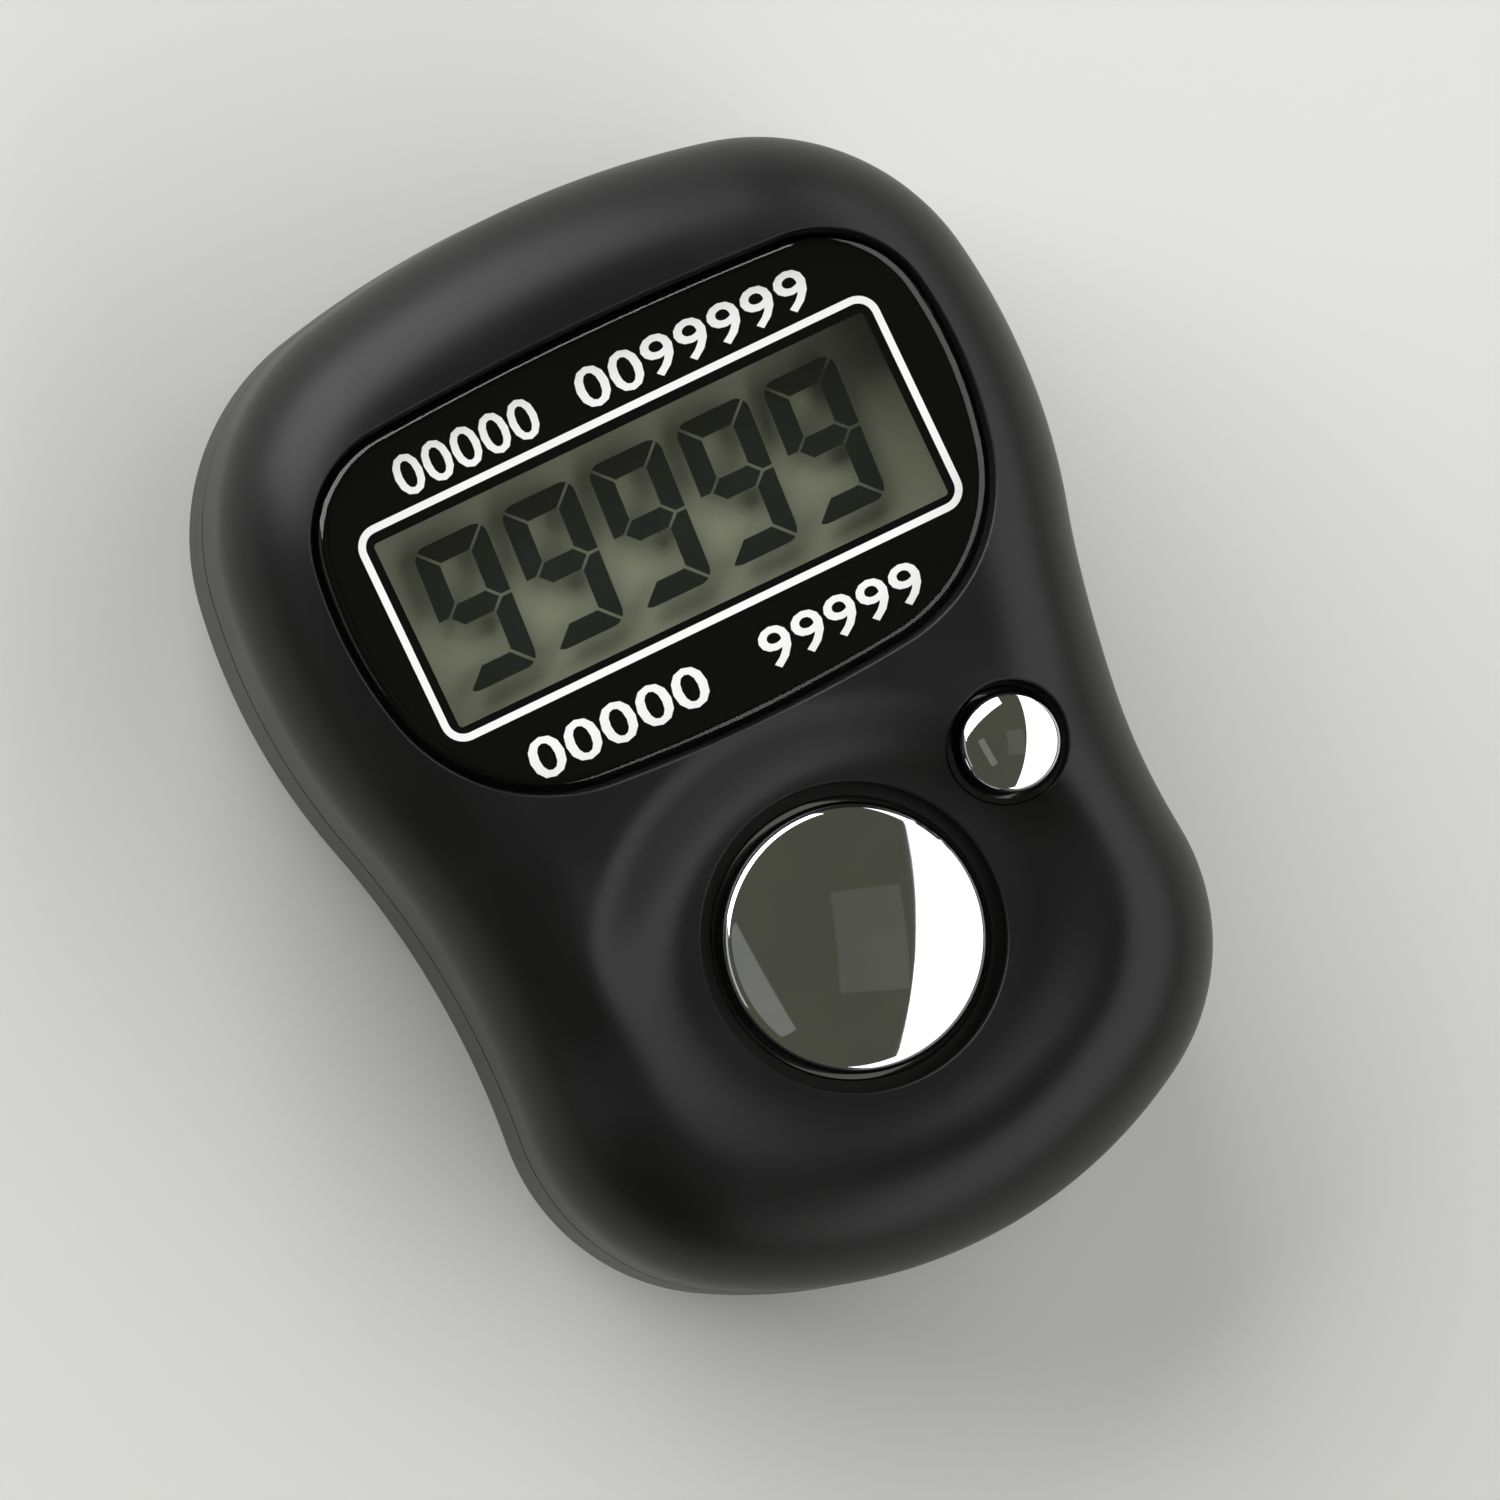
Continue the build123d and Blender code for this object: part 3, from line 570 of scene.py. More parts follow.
# rear shell: flat on its back, with the cell compartment, the screw recesses and the tongue
cap = {
    "place": centre("battery_cap"),
    "plate": 7.8,
    "plateTop": 1.35,
    "recess": 0.15,  # the plate lies this deep in the back
    "seat": 8.0,
    "seatDepth": 1.4,
    "bore": 7.0,
    "groove": 7.8,
    "grooveFloor": 1.9,
    "grooveTop": 2.6,
    "collar": 9.1,
    "collarTop": 3.2,
    "ringOuter": 6.8,
    "ringInner": 6.0,
    "lugFloor": 1.95,
    "lugTop": 2.55,
    "lugReach": 7.6,
    "lugAngle": 36.0,
    "lugHeadings": (0, 180),
    "entryPlay": 6.0,  # degrees that an entry is wider than a lug
    "sectorSteps": 24,
    "turn": 40.0,
    "edge": 0.2,
    "edgeShare": 0.3,  # an edge's round has one point between its ends, this share of it in
    "mouth": 0.5,  # the seat's cutter flares this much outside the back
    "plateStrip": 0.3,  # the flat plate starts with a strip this wide
    "markHeading": 90.0,
    "markInset": 1.1,
    "markRadius": 0.36,
    "markProfile": [(1.0, 0.0), (0.85, 0.12), (0.45, 0.19)],  # share of its radius, depth
    "markSides": 32,
    "slotLength": 9.0,
    "slotWidth": 1.4,
    "slotProfile": [  # out from its wall, height
        (0.2, -0.1), (0.12, 0.15), (0.0, 0.27), (0.0, 0.7), (-0.05, 0.75),
    ],
    "slotSteps": 16,
    "coreSides": 64,
}


def rearBody():
    tongueInset, bevel = case["wall"] - case["tongue"], case["tongueBevel"]
    tongueTop = partingHeight + case["tongueHeight"]
    rings = [
        caseRing(tongueInset + bevel, tongueTop),
        caseRing(tongueInset, tongueTop - bevel),
        caseRing(tongueInset, partingHeight),
        caseRing(case["seamBevel"], partingHeight),
        caseRing(0, partingHeight - case["seamBevel"]),
    ]
    roll = case["backRoll"]
    for turn in evenSteps(0, math.pi / 2, case["rollSteps"]):
        rings.append(caseRing(roll * (1 - math.cos(turn)), roll * (1 - math.sin(turn))))
    rings.append(caseRing(roll + case["backStrip"], 0))
    return stackRings("rear_case", rings)


def rearCavity():
    wall, columns = case["wall"], case["innerColumns"]
    inner = case["backRoll"] - wall
    rings = [caseRing(wall, partingHeight + 2 * overrun, columns)]
    for turn in evenSteps(0, math.pi / 2, case["innerRollSteps"]):
        inset = wall + inner * (1 - math.cos(turn))
        rings.append(caseRing(inset, wall + inner * (1 - math.sin(turn)), columns))
    cavity = stackRings("rear_cavity", rings)
    radius, pillar = cap["collar"], fasteners["rearPillar"]
    collar = turned("collar", cap["place"], [(radius, -overrun), (radius, cap["collarTop"])])
    pillars = [
        turned(
            "pillar", place, [(pillar, -overrun), (pillar, partingHeight - shortOverrun)],
            fasteners["bossSides"],
        )
        for place in fasteners["caseScrews"]
    ]
    cutWith(cavity, [collar] + pillars)
    return cavity


def sectorBlock(name, radius, angle, heading, low, high):
    place = cap["place"]
    points = [place]
    for share in evenSteps(-0.5, 0.5, cap["sectorSteps"]):
        turn = math.radians(heading + angle * share)
        points.append((place[0] + radius * math.cos(turn), place[1] + radius * math.sin(turn)))
    return stackRings(name, [[(x, y, height) for x, y in points] for height in (low, high)])


def compartmentBore():
    # seat for the plate, bore, and the groove that the lugs turn in
    edge, seatRadius = cap["edge"], cap["seat"]
    between = edge * cap["edgeShare"]
    bore = turned("compartment_bore", cap["place"], [
        (seatRadius + edge + cap["mouth"], -cap["mouth"]), (seatRadius + edge, 0.0),
        (seatRadius + between, between), (seatRadius, edge), (seatRadius, cap["seatDepth"]),
        (cap["bore"], cap["seatDepth"]), (cap["bore"], cap["grooveFloor"]),
        (cap["groove"], cap["grooveFloor"]), (cap["groove"], cap["grooveTop"]),
        (cap["bore"], cap["grooveTop"]), (cap["bore"], cap["collarTop"] + overrun),
    ])
    entries = [
        sectorBlock(
            "entry", cap["groove"], cap["lugAngle"] + cap["entryPlay"], heading - cap["turn"],
            cap["seatDepth"] - shortOverrun, cap["grooveFloor"] + shortOverrun,
        )
        for heading in cap["lugHeadings"]
    ]
    cutWith(bore, entries, "UNION")
    return bore


def markDimple(radius, heading, floor):
    turn = math.radians(heading)
    place = (cap["place"][0] + radius * math.cos(turn), cap["place"][1] + radius * math.sin(turn))
    size = cap["markRadius"]
    profile = [(size + shortOverrun, floor - shortOverrun)]
    profile += [(size * share, floor + depth) for share, depth in cap["markProfile"]]
    return turned("mark", place, profile, cap["markSides"])


def screwRecess(place):
    radius, depth, shank = fasteners["recess"], fasteners["recessDepth"], fasteners["shankHole"]
    profile = [(radius + out, height) for out, height in fasteners["recessLip"]]
    profile += [(radius, depth), (shank, depth), (shank, partingHeight + overrun)]
    return turned("screw_recess", place, profile, fasteners["recessSides"])


rearShell = rearBody()
cutWith(rearShell, [rearCavity(), compartmentBore()])
cutWith(rearShell, [
    markDimple(cap["seat"] + cap["markInset"], heading, 0.0)
    for heading in (cap["markHeading"], cap["markHeading"] - cap["turn"])
])
cutWith(rearShell, [screwRecess(place) for place in fasteners["caseScrews"]])
seat(rearShell, "case", "rear_shell", 28)
print("rear shell:", len(rearShell.data.polygons), "faces")


# battery cap: a turned plate and ring with two bayonet lugs and a coin slot
def coinSlot():
    half = cap["slotLength"] / 2 - cap["slotWidth"] / 2
    rings = []
    for out, height in cap["slotProfile"]:
        radius = cap["slotWidth"] / 2 + out
        ring = []
        for side, first in ((1, -90), (-1, 90)):
            for angle in evenSteps(first, first + 180, cap["slotSteps"]):
                turn = math.radians(angle)
                x = cap["place"][0] + side * half + radius * math.cos(turn)
                ring.append((x, cap["place"][1] + radius * math.sin(turn), height))
        rings.append(ring)
    return stackRings("coin_slot", rings)


def batteryCapShape():
    edge, plate, recess = cap["edge"], cap["plate"], cap["recess"]
    between = edge * cap["edgeShare"]
    shape = turned("battery_cap_turned", cap["place"], [
        (plate - edge - cap["plateStrip"], recess), (plate - edge, recess),
        (plate - between, recess + between), (plate, recess + edge),
        (plate, cap["plateTop"]), (cap["ringOuter"], cap["plateTop"]),
        (cap["ringOuter"], cap["lugTop"]), (cap["ringInner"], cap["lugTop"]),
        (cap["ringInner"], cap["plateTop"]),
    ])
    core = (cap["ringInner"] + cap["ringOuter"]) / 2  # the lugs start inside the ring's wall
    lugs = []
    for heading in cap["lugHeadings"]:
        lug = sectorBlock(
            "lug", cap["lugReach"], cap["lugAngle"], heading, cap["lugFloor"], cap["lugTop"],
        )
        cutWith(lug, [
            turned("core", cap["place"], [(core, 0), (core, partingHeight)], cap["coreSides"]),
        ])
        lugs.append(lug)
    cutWith(shape, lugs, "UNION")
    mark = markDimple(plate - cap["markInset"], cap["markHeading"], recess)
    cutWith(shape, [coinSlot(), mark])
    return shape


batteryCap = batteryCapShape()
seat(batteryCap, "cell_cap", "battery_cap", 28)
print("battery cap:", len(batteryCap.data.polygons), "faces")


# display lens: clear acrylic with a rounded edge, printed on its back
def lensRing(inset, height):
    return [(x, y, height) for x, y in outline(lensOutline, inset, lens["columns"])]


def lensShape():
    edge, bevel = lens["edge"], lens["footBevel"]
    rings = [
        lensRing(lens["footInset"], lensLow.z),
        lensRing(bevel, lensLow.z),
        lensRing(0, lensLow.z + bevel),
    ]
    for turn in evenSteps(0, math.pi / 2, lens["edgeSteps"]):
        height = lensHigh.z - edge * (1 - math.sin(turn))
        rings.append(lensRing(edge * (1 - math.cos(turn)), height))
    rings.append(lensRing(edge + lens["edgeStrip"], lensHigh.z))
    return stackRings("display_window", rings)


displayWindow = lensShape()
seat(displayWindow, "case", "display_lens", 35)

graphics = {
    "floor": lensLow.z + 0.02,
    "blackThickness": 0.02,
    "whiteThickness": 0.02,
    "blackInset": 0.05,
    "openingCorner": 0.15,
    "frameWidth": 20.2,  # of the line's middle
    "frameHeight": 8.0,
    "frameLine": 0.27,
    "frameCorner": 0.7,
    "frameCentreY": 7.9,
    "capHeight": 1.5,
    "stroke": 0.013,  # how far the strokes are thickened, for letters of size 1
    "curveSteps": 3,  # more of them leave gaps in the thickened nines
    "rows": [  # text, left, right, foot
        ("00000", -7.95, -2.4, 12.35),
        ("0099999", -0.8, 8.3, 12.35),
        ("00000", -7.95, -1.0, 1.35),
        ("99999", 1.2, 7.5, 1.35),
    ],
}


def backPrint():
    low = graphics["floor"]
    high = low + graphics["blackThickness"]
    inset = graphics["blackInset"]
    layer = stackRings("lens_back_print", [lensRing(inset, low), lensRing(inset, high)])
    cutWith(layer, [block(
        "opening", lens["windowWidth"], lens["windowHeight"], windowCentre,
        low - overrun, high + overrun, graphics["openingCorner"],
    )])
    return layer


def frameLine():
    low = graphics["floor"] + graphics["blackThickness"]
    high = low + graphics["whiteThickness"]
    middle = (0.0, graphics["frameCentreY"])
    outer, inner = [
        block(
            "frame", graphics["frameWidth"] + 2 * out, graphics["frameHeight"] + 2 * out,
            middle, low - beyond, high + beyond, graphics["frameCorner"] + out,
        )
        for out, beyond in ((graphics["frameLine"] / 2, 0), (-graphics["frameLine"] / 2, overrun))
    ]
    cutWith(outer, [inner])
    outer.name = "lens_frame_line"
    return outer


def printedNumber(text, left, right, foot):
    # text laid between two places, its caps as tall as the print's
    clearSelection()
    bpy.ops.object.text_add()
    words = bpy.context.object
    words.data.body = text
    words.data.size = 1.0
    words.data.offset = graphics["stroke"]
    words.data.resolution_u = graphics["curveSteps"]
    words.data.extrude = 0.5
    makeActive(words)
    bpy.ops.object.convert(target="MESH")
    points = [vert.co for vert in words.data.vertices]
    low = Vector([min(point[axis] for point in points) for axis in range(3)])
    high = Vector([max(point[axis] for point in points) for axis in range(3)])
    size = high - low
    floor = graphics["floor"] + graphics["blackThickness"]
    scaleX = (right - left) / size.x
    scaleY = graphics["capHeight"] / size.y
    scaleZ = graphics["whiteThickness"] / size.z
    for vert in words.data.vertices:
        spot = vert.co - low
        vert.co = (left + spot.x * scaleX, foot + spot.y * scaleY, floor + spot.z * scaleZ)
    return words


def lensNumbers():
    numbers = joinPieces([printedNumber(*row) for row in graphics["rows"]], "lens_numbers")
    tidyMesh(numbers)
    return numbers


lensPrint, whiteFrame, whiteNumbers = backPrint(), frameLine(), lensNumbers()
for piece in (lensPrint, whiteFrame, whiteNumbers):
    seat(piece, "case")
print("lens: print and numbers")


# liquid crystal digits: one figure nine cut from a rounded block, copied along the row
digits = {
    "count": 5,
    "height": 5.4,
    "width": 2.8,
    "pitch": 3.45,
    "slant": 3.5,
    "stroke": 0.77,
    "gap": 0.11,
    "corner": 0.5,
    "innerCorner": 0.16,
    "overlap": 0.02,  # the unlit bar's cutter runs this far into the rooms beside it
    "cornerStart": 0.2,  # the corner gaps start this far outside the figure
    "cornerReach": 1.15,  # and reach this many strokes into it
    "forkAt": 0.5,  # strokes from the side to where a gap in the middle forks,
    "forkReach": 1.2,  # and to the ends of the fork,
    "forkSpread": 0.7,  # which lie this many strokes above and below
    "forkStart": 0.03,
}


def bar(start, end, width, low, high):
    # a straight cutter between two places in plan
    along = Vector((end[0] - start[0], end[1] - start[1])).normalized()
    side = Vector((-along.y, along.x)) * width / 2
    ring = [
        (start[0] - side.x, start[1] - side.y), (end[0] - side.x, end[1] - side.y),
        (end[0] + side.x, end[1] + side.y), (start[0] + side.x, start[1] + side.y),
    ]
    return stackRings("bar", [[(x, y, height) for x, y in ring] for height in (low, high)])


def figureNine():
    low, high = [corner.z for corner in corners("lcd_segments")]
    width, height, stroke, gap = [digits[key] for key in ("width", "height", "stroke", "gap")]
    middle = height / 2
    nine = block("nine", width, height, (width / 2, middle), low, high, digits["corner"])
    below, above = low - overrun, high + overrun
    # the two rooms inside the figure
    inner = width - 2 * stroke
    rise = middle - stroke * 1.5
    cutters = [
        block("room", inner, rise, (width / 2, level), below, above, digits["innerCorner"])
        for level in (height - stroke - rise / 2, stroke + rise / 2)
    ]
    # the lower left bar, which a nine leaves unlit
    inside = stroke + digits["overlap"]
    unlit = [
        (-shortOverrun, -shortOverrun), (inside, inside), (inside, middle - stroke / 2),
        (stroke / 2, middle), (-shortOverrun, middle),
    ]
    cutters.append(
        stackRings("unlit", [[(x, y, level) for x, y in unlit] for level in (below, above)])
    )
    # gaps across the four corners
    before, reach = digits["cornerStart"], stroke * digits["cornerReach"]
    for x, y, towardX, towardY in (
        (0, height, 1, -1), (width, height, -1, -1), (width, 0, -1, 1), (0, 0, 1, 1),
    ):
        start = (x - towardX * before, y - towardY * before)
        end = (x + towardX * reach, y + towardY * reach)
        cutters.append(bar(start, end, gap, below, above))
    # at both ends of the middle bar, a gap that forks
    for x, toward in ((0, 1), (width, -1)):
        fork = (x + toward * stroke * digits["forkAt"], middle)
        cutters.append(bar((x - toward, middle), fork, gap, below, above))
        for side in (-1, 1):
            start = (fork[0] - toward * digits["forkStart"], fork[1] - side * digits["forkStart"])
            end = (
                x + toward * stroke * digits["forkReach"],
                middle + side * stroke * digits["forkSpread"],
            )
            cutters.append(bar(start, end, gap, below, above))
    cutWith(nine, cutters)
    return nine


def digitRow():
    first = figureNine()
    lean = math.tan(math.radians(digits["slant"]))
    rowWidth = (digits["count"] - 1) * digits["pitch"] + digits["width"] + lean * digits["height"]
    row = []
    for number in range(digits["count"]):
        figure = first.copy()
        figure.data = first.data.copy()
        bpy.context.scene.collection.objects.link(figure)
        for vert in figure.data.vertices:
            vert.co.x += number * digits["pitch"] - rowWidth / 2 + lean * vert.co.y
            vert.co.y += windowCentre[1] - digits["height"] / 2
        row.append(figure)
    bpy.data.objects.remove(first, do_unlink=True)
    return joinPieces(row, "display_digits")


displayDigits = digitRow()
seat(displayDigits, "case", "lcd_segments")
print("display digits:", len(displayDigits.data.polygons), "faces")


# chrome caps: a shallow dome, a rounded shoulder, a short side and the hidden flange and stem
buttons = {
    "count": {"radius": 4.8, "sag": 0.8, "shoulder": 0.55, "flange": 5.7, "stem": 1.3},
    "reset": {"radius": 1.8, "sag": 0.5, "shoulder": 0.35, "flange": 2.35, "stem": 0.7},
    "wall": 0.7,
    "flangeThickness": 0.7,
    "flangeTop": 10.15,
    "domeSteps": 30,
    "shoulderSteps": 16,
    "sides": 160,
}


def buttonCap(name, node, sizes):
    low, high = corners(node)
    radius, sag, shoulder = sizes["radius"], sizes["sag"], sizes["shoulder"]
    dome = (radius**2 + sag**2) / (2 * sag)  # radius of the dome's sphere
    reach = math.asin((radius - shoulder) / (dome - shoulder))
    shoulderHeight = high.z - dome + (dome - shoulder) * math.cos(reach)
    profile = []
    for turn in evenSteps(0, reach, buttons["domeSteps"])[1:]:
        profile.append((dome * math.sin(turn), high.z - dome * (1 - math.cos(turn))))
    for turn in evenSteps(reach, math.pi / 2, buttons["shoulderSteps"])[1:]:
        away = radius - shoulder + shoulder * math.sin(turn)
        profile.append((away, shoulderHeight + shoulder * math.cos(turn)))
    flangeTop = buttons["flangeTop"]
    flangeFoot = flangeTop - buttons["flangeThickness"]
    inner = radius - buttons["wall"]
    inside = high.z - sag - shoulder - buttons["wall"] / 2
    profile += [
        (radius, flangeTop), (sizes["flange"], flangeTop), (sizes["flange"], flangeFoot),
        (inner, flangeFoot), (inner, inside), (sizes["stem"], inside), (sizes["stem"], low.z),
    ]
    return turned(name, centre(node), profile, buttons["sides"])


countKey = buttonCap("count_key_cap", "count_button", buttons["count"])
seat(countKey, "count_key", "count_button")
resetKey = buttonCap("reset_key_cap", "reset_button", buttons["reset"])
seat(resetKey, "reset_key", "reset_button")
print("chrome caps:", len(countKey.data.polygons) + len(resetKey.data.polygons), "faces")


# silicone pads under the stems, each given a mesh of its own
pads = {
    "wall": 0.35,
    "base": 0.3,
    "baseBevel": 0.05,
    "skirtFoot": (0.4, 0.12),  # the skirt's last point: walls inwards, height over the base
    "topBevel": 0.1,
    "plungerHeight": 0.3,
    "plungerDraft": 0.05,
    "sides": 64,
}


def switchPad(name, node, plunger):
    low, high = corners(node)
    radius = (high.x - low.x) / 2
    wall, bevel, topBevel = pads["wall"], pads["baseBevel"], pads["topBevel"]
    baseTop = low.z + pads["base"]
    inwards, rise = pads["skirtFoot"]
    return turned(name, centre(node), [
        (plunger - topBevel, high.z), (plunger, high.z - topBevel),
        (plunger + pads["plungerDraft"], high.z - pads["plungerHeight"]),
        (radius - (2 + inwards) * wall, baseTop + rise), (radius - 2 * wall, baseTop),
        (radius - bevel, baseTop), (radius, baseTop - bevel), (radius, low.z),
        (radius - 3 * wall, low.z), (plunger - wall, high.z - 2 * wall),
    ], pads["sides"])


switchPads = []
for name, node, joint, plunger in (
    ("count_pad", "count_switch_pad", "count_press", 1.65),
    ("reset_pad", "reset_switch_pad", "reset_press", 0.7),
):
    pad = switchPad(name, node, plunger)
    seat(pad, "case", node, 40)
    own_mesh(pad)
    switchPads.append(pad)
print("switch pads")


# case screws: domed heads with a cross recess, seen deep in the back
screws = {
    "dome": [(0.5, 0.0), (0.95, 0.05), (1.3, 0.18), (1.46, 0.38), (1.5, 0.6)],  # radius, height
    "head": 1.5,
    "headHeight": 0.9,
    "core": 0.8,
    "length": 8.0,
    "point": 0.4,
    "sides": 64,
    "arm": 0.95,
    "armWidth": 0.32,
    "crossDepth": 0.5,
    "crossTurn": 0.3,  # radians
}


def caseScrew(place, headFoot):
    top = headFoot + screws["headHeight"]
    core, end = screws["core"], top + screws["length"]
    shape = turned("screw", place, [
        (radius, headFoot + height) for radius, height in screws["dome"]
    ] + [
        (screws["head"], top), (core, top), (core, end - screws["point"]), (core / 2, end),
    ], screws["sides"])
    low, high = headFoot - screws["crossDepth"], headFoot + screws["crossDepth"]
    for turn in (screws["crossTurn"], screws["crossTurn"] + math.pi / 2):
        along = Vector((math.cos(turn), math.sin(turn))) * screws["arm"]
        start = (place[0] - along.x, place[1] - along.y)
        stop = (place[0] + along.x, place[1] + along.y)
        cutWith(shape, [bar(start, stop, screws["armWidth"], low, high)])
    return shape


screwFoot = corners("case_screws")[0].z
caseScrews = joinPieces(
    [caseScrew(place, screwFoot) for place in fasteners["caseScrews"]], "rear_screws",
)
seat(caseScrews, "case", "case_screws")
print("screws:", len(caseScrews.data.polygons), "faces")


# materials: sizes of patterns are in millimetres
finish = {
    "colourSpan": (0.35, 0.65),  # the part of a noise that runs from one colour to the other,
    "glossSpan": (0.3, 0.7),  # and from one gloss to the other
    "rangeSockets": ("From Min", "From Max", "To Min", "To Max"),
    "fineDetail": 3.0,
    "slowDetail": 2.0,
}


def linear(colour):
    channels = [int(colour[start:start + 2], 16) / 255 for start in (1, 3, 5)]
    return [
        c / 12.92 if c <= 0.04045 else ((c + 0.055) / 1.055) ** 2.4 for c in channels
    ] + [1.0]


def addNode(material, kind, settings=None, inputs=None, links=None):
    # settings are the node's own, inputs are fixed sockets, links feed sockets from other nodes
    node = material.node_tree.nodes.new(kind)
    for name, value in (settings or {}).items():
        setattr(node, name, value)
    for name, value in (inputs or {}).items():
        node.inputs[name].default_value = value
    for name, source in (links or {}).items():
        material.node_tree.links.new(source, node.inputs[name])
    return node


def newMaterial(name, patch):
    # an empty material, and a noise whose blobs are about this far apart, for slow changes
    material = bpy.data.materials.new(name)
    material.use_nodes = True
    material.node_tree.nodes.clear()
    place = addNode(material, "ShaderNodeTexCoord").outputs["Object"]
    slow = addNode(
        material, "ShaderNodeTexNoise",
        inputs={"Scale": 1 / (patch * mm), "Detail": finish["slowDetail"]}, links={"Vector": place},
    )
    return material, place, slow.outputs["Fac"]


def grained(name, colours, roughness, grain, depth, patch=4.0, extra=None):
    # an opaque surface with a fine grain and slow changes of colour and gloss
    material, place, slow = newMaterial(name, patch)
    ramp = addNode(material, "ShaderNodeValToRGB", links={"Fac": slow})
    for stop, position, colour in zip(ramp.color_ramp.elements, finish["colourSpan"], colours):
        stop.position = position
        stop.color = linear(colour)
    gloss = addNode(
        material, "ShaderNodeMapRange",
        inputs=dict(zip(finish["rangeSockets"], finish["glossSpan"] + roughness)),
        links={"Value": slow},
    )
    fine = addNode(
        material, "ShaderNodeTexNoise",
        inputs={"Scale": 1 / (grain * mm), "Detail": finish["fineDetail"]}, links={"Vector": place},
    )
    bump = addNode(
        material, "ShaderNodeBump",
        inputs={"Strength": 1.0, "Distance": depth * mm}, links={"Height": fine.outputs["Fac"]},
    )
    shader = addNode(
        material, "ShaderNodeBsdfPrincipled", inputs={"IOR": 1.5, **(extra or {})},
        links={
            "Base Color": ramp.outputs["Color"], "Roughness": gloss.outputs["Result"],
            "Normal": bump.outputs["Normal"],
        },
    )
    addNode(material, "ShaderNodeOutputMaterial", links={"Surface": shader.outputs["BSDF"]})
    return material


def metal(name, colours, roughness, grain, depth):
    return grained(name, colours, roughness, grain, depth, 3.0, {"Metallic": 1.0})


def clearAcrylic():
    material, _, slow = newMaterial("clear_acrylic", 3.0)
    gloss = addNode(
        material, "ShaderNodeMapRange",
        inputs=dict(zip(finish["rangeSockets"], finish["glossSpan"] + (0.015, 0.03))),
        links={"Value": slow},
    )
    glass = addNode(
        material, "ShaderNodeBsdfPrincipled",
        inputs={"IOR": 1.49, "Transmission Weight": 1.0},
        links={"Roughness": gloss.outputs["Result"]},
    )
    # light on its way to what lies behind goes straight through
    clear = addNode(material, "ShaderNodeBsdfTransparent")
    path = addNode(material, "ShaderNodeLightPath")
    straight = addNode(material, "ShaderNodeMath", {"operation": "MAXIMUM"}, links={
        0: path.outputs["Is Shadow Ray"], 1: path.outputs["Is Diffuse Ray"],
    })
    mix = addNode(material, "ShaderNodeMixShader", links={
        "Fac": straight.outputs["Value"], 1: glass.outputs["BSDF"], 2: clear.outputs["BSDF"],
    })
    addNode(material, "ShaderNodeOutputMaterial", links={"Surface": mix.outputs["Shader"]})
    return material


def clearSheet(name, colour, alpha, roughness, gleam):
    # a thin sheet in the display: mostly see-through, with a haze of its own
    material, _, slow = newMaterial(name, 1.5)
    haze, gloss = [
        addNode(
            material, "ShaderNodeMapRange",
            inputs=dict(zip(finish["rangeSockets"], finish["glossSpan"] + ends)),
            links={"Value": slow},
        )
        for ends in ((alpha * 0.92, alpha * 1.08), (roughness, roughness * 1.2))
    ]
    shader = addNode(
        material, "ShaderNodeBsdfPrincipled",
        inputs={"Base Color": linear(colour), "IOR": 1.5, "Specular IOR Level": gleam},
        links={"Roughness": gloss.outputs["Result"], "Alpha": haze.outputs["Result"]},
    )
    addNode(material, "ShaderNodeOutputMaterial", links={"Surface": shader.outputs["BSDF"]})
    return material


def dress(piece, material):
    piece.data.materials.clear()
    piece.data.materials.append(material)
    for face in piece.data.polygons:
        face.material_index = 0


# the texture that a spark-cut mould leaves: wide soft highlights and no mirror;
# its grain is finer than this, and is drawn this coarse so that it shows
blackAbs = grained(
    "moulded_black_abs", ("#0b0b0c", "#0f0f10"), (0.37, 0.41), 0.09, 0.0014, 6.0,
    {"Specular IOR Level": 0.3},
)
# bright chromium over polished plastic: a sharp mirror that swims a very little
chrome = metal("chrome_plated_abs", ("#dcdddf", "#d4d6d8"), (0.025, 0.05), 2.2, 0.0008)
# cast acrylic with a polished face: a hard clean gloss over the print behind it
acrylic = clearAcrylic()
# ink and film stuck to acrylic or glass have no gloss of their own
bonded = {"Specular IOR Level": 0.0}
# two coats of black ink: the deepest black of the counter, without texture
blackPrint = grained(
    "screen_printed_black", ("#020202", "#030303"), (0.45, 0.55), 0.12, 0.0005, extra=bonded,
)
# one thick coat of white ink: an even, chalky white
whitePrint = grained(
    "screen_printed_white", ("#ffffff", "#fbfbfa"), (0.45, 0.6), 0.1, 0.0005, extra=bonded,
)
# matt polarising film: a faint haze that softens what the glass mirrors
polariser = clearSheet("matt_polariser", "#8f9482", 0.02, 0.35, 0.15)
# thin float glass: all but unseen
displayGlass = clearSheet("display_glass", "#7f877b", 0.01, 0.08, 0.0)
# liquid crystal that blocks the light: nearly black, with a cold tint
crystalInk = grained(
    "lit_liquid_crystal", ("#070d0e", "#0a1112"), (0.4, 0.5), 0.1, 0.0004, extra=bonded,
)
# aluminised film with a matt face: the dull grey-green ground of the display
reflector = grained(
    "matt_reflector", ("#a6a991", "#acaf97"), (0.55, 0.7), 0.07, 0.001, extra=bonded,
)
# inside the case; seen only when it is opened
# black ABS from a plain mould: dull, a little greyer than the case
holderAbs = grained("moulded_dark_abs", ("#1b1b1c", "#222223"), (0.45, 0.55), 0.15, 0.002)
# open foam: soaks light up and shows its cells
foamTape = grained("foam_tape", ("#1d1d1f", "#2a2a2c"), (0.8, 0.95), 0.08, 0.01)
# cut silicone: matt and charcoal grey
zebraRubber = grained("connector_rubber", ("#2a2a2b", "#353536"), (0.6, 0.75), 0.12, 0.004)
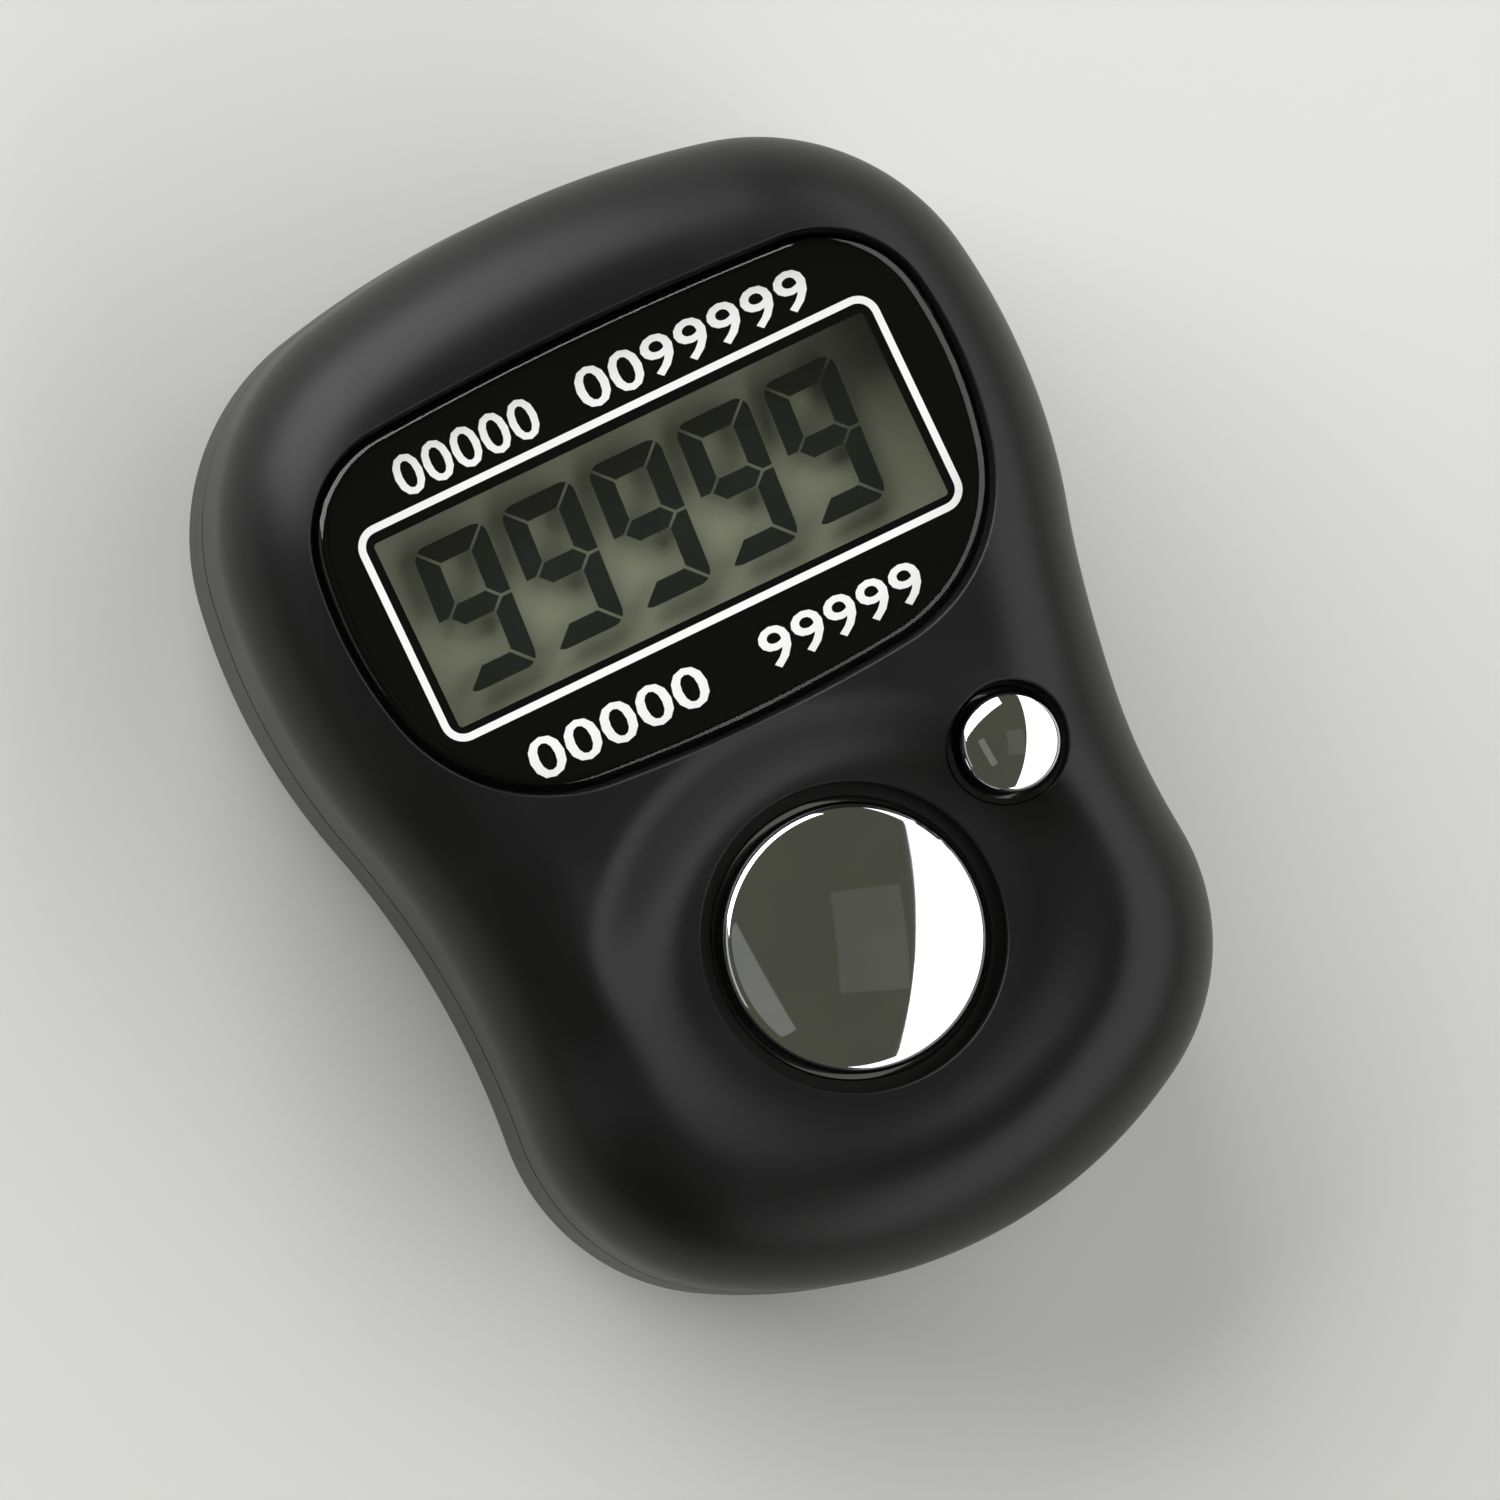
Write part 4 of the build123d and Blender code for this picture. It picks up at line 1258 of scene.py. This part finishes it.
# solder mask over glass cloth: satin green with the weave just felt through it
boardLaminate = grained(
    "green_masked_laminate", ("#0e4a2b", "#135a35"), (0.3, 0.42), 0.35, 0.006,
)
# a cured drop: glossy black with a slow unevenness
epoxyDrop = grained("black_epoxy", ("#0d0d0e", "#151516"), (0.18, 0.3), 0.8, 0.01)
# fired ceramic: dull tan for the capacitors, dull black for the resistors
tanCeramic = grained("tan_ceramic", ("#8a6a4b", "#9c7c5b"), (0.5, 0.6), 0.08, 0.003)
blackCeramic = grained("black_ceramic", ("#18181a", "#222225"), (0.4, 0.5), 0.08, 0.003)
# moulded silicone: soft-looking and dusty grey
siliconeRubber = grained("grey_silicone", ("#8d8f92", "#9a9c9f"), (0.55, 0.7), 0.2, 0.004)
# drawn and tumbled steel can: a blurred, silvery mirror
cellSteel = metal("stainless_cell_can", ("#b9babb", "#c6c7c8"), (0.2, 0.32), 0.3, 0.002)
# rolled strip with dull nickel on it: warmer than the can
contactNickel = metal(
    "nickel_plated_spring_steel", ("#b5afa2", "#c1bbb0"), (0.22, 0.34), 0.25, 0.002,
)
# zinc with a black passivation: dark grey metal with worn glints
screwZinc = metal("black_zinc_screws", ("#4b4c4f", "#5a5b5e"), (0.25, 0.4), 0.2, 0.003)

for piece, material in (
    (frontShell, blackAbs), (rearShell, blackAbs), (batteryCap, blackAbs),
    (displayWindow, acrylic), (lensPrint, blackPrint),
    (whiteFrame, whitePrint), (whiteNumbers, whitePrint), (displayDigits, crystalInk),
    (countKey, chrome), (resetKey, chrome),
    (switchPads[0], siliconeRubber), (switchPads[1], siliconeRubber), (caseScrews, screwZinc),
    (nodes["lens_adhesive"], foamTape), (nodes["lcd_front_polariser"], polariser),
    (nodes["lcd_front_glass"], displayGlass), (nodes["lcd_rear_glass"], displayGlass),
    (nodes["lcd_reflector"], reflector), (nodes["lcd_holder"], holderAbs),
    (nodes["zebra_strip"], zebraRubber), (nodes["circuit_board"], boardLaminate),
    (nodes["chip_blob"], epoxyDrop), (nodes["chip_capacitors"], tanCeramic),
    (nodes["chip_resistors"], blackCeramic), (nodes["battery_cell"], cellSteel),
    (nodes["battery_positive_clip"], contactNickel),
    (nodes["battery_negative_spring"], contactNickel), (nodes["board_screws"], screwZinc),
):
    dress(piece, material)
print("materials:", len(bpy.data.materials))


# camera: a long lens high over the face, leaning a little to the left and towards the display
view = {
    "aim": (-0.58, -0.78, 12.5),
    "leanLeft": 10.36,
    "leanUp": 1.47,
    "roll": 25.28,
    "distance": 800.0,
    "frameSide": 52.56,  # how much the picture spans at the aim
    "sensor": 36.0,
}


def setCamera():
    aim = Vector(view["aim"]) * mm
    leftSlope = math.tan(math.radians(view["leanLeft"]))
    upSlope = math.tan(math.radians(view["leanUp"]))
    away = Vector((-leftSlope, upSlope, 1)).normalized()
    roll = math.radians(view["roll"])
    right = Vector((math.cos(roll), -math.sin(roll), 0))
    right = (right - away * right.dot(away)).normalized()
    up = away.cross(right)
    data = bpy.data.cameras.new("camera")
    data.sensor_width = view["sensor"]
    data.lens = view["sensor"] * view["distance"] / view["frameSide"]
    data.clip_start = 0.01
    camera = bpy.data.objects.new("camera", data)
    bpy.context.scene.collection.objects.link(camera)
    turn = Matrix((right, up, away)).transposed().to_4x4()
    camera.matrix_world = Matrix.Translation(aim + away * view["distance"] * mm) @ turn
    bpy.context.scene.camera = camera
    return right


pictureRight = setCamera()


# floor and lights
studio = {
    "floor": ("#d4d4d2", "#cececc"),
    "floorSize": 3.0,  # metres, as are the lamps' distances
    "floorGap": 0.0002,  # under the back, so that the two faces do not fight
    "air": "#55564a",
    "airStrength": 1.0,
    "lamps": [
        # name, turn from the picture's right, lean from upright, width and height as angles,
        # distance, radiance
        ("key_softbox", -3, 50, 47, 140, 0.6, 1.95),
        ("top_softbox", 134, 63, 50, 66, 0.6, 4.5),
        ("left_strip", 190, 66, 14, 50, 0.6, 0.5),
        ("dim_panel", 6, 14, 20, 28, 0.9, 0.035),
        ("dim_window", 210, 22, 8, 34, 0.9, 0.13),
    ],
}


def studioFloor():
    clearSelection()
    bpy.ops.mesh.primitive_grid_add(
        x_subdivisions=4, y_subdivisions=4,
        size=studio["floorSize"], location=(0, 0, -studio["floorGap"]),
    )
    floor = bpy.context.object
    floor.name = "studio_floor"
    # uncoated paper: bright and flat, with a drift in tone too slow to notice
    dress(floor, grained("pale_paper_floor", studio["floor"], (0.6, 0.75), 1.5, 0.01, 120.0))


def studioLamps():
    aim = Vector(view["aim"]) * mm
    right = math.atan2(pictureRight.y, pictureRight.x)
    for name, turn, lean, width, height, distance, radiance in studio["lamps"]:
        data = bpy.data.lights.new(name, "AREA")
        data.shape = "RECTANGLE"
        data.size = 2 * distance * math.tan(math.radians(width / 2))
        data.size_y = 2 * distance * math.tan(math.radians(height / 2))
        data.energy = radiance * math.pi * data.size * data.size_y
        lamp = bpy.data.objects.new(name, data)
        bpy.context.scene.collection.objects.link(lamp)
        # its width runs from upright towards the floor, its height round the object
        heading, slope = right + math.radians(turn), math.radians(lean)
        level = Vector((math.cos(heading), math.sin(heading), 0))
        toward = level * math.sin(slope) + Vector((0, 0, math.cos(slope)))
        down = level * math.cos(slope) - Vector((0, 0, math.sin(slope)))
        facing = Matrix((down, toward.cross(down), toward)).transposed().to_4x4()
        lamp.matrix_world = Matrix.Translation(aim + toward * distance) @ facing


world = bpy.data.worlds.new("studio_air")
bpy.context.scene.world = world
world.use_nodes = True
world.node_tree.nodes["Background"].inputs["Color"].default_value = linear(studio["air"])
world.node_tree.nodes["Background"].inputs["Strength"].default_value = studio["airStrength"]
bpy.context.scene.view_settings.view_transform = "Standard"
# light passes all the sheets of the display, in and out again
bpy.context.scene.cycles.transparent_max_bounces = 32
studioFloor()
studioLamps()
print("camera, floor and lights")
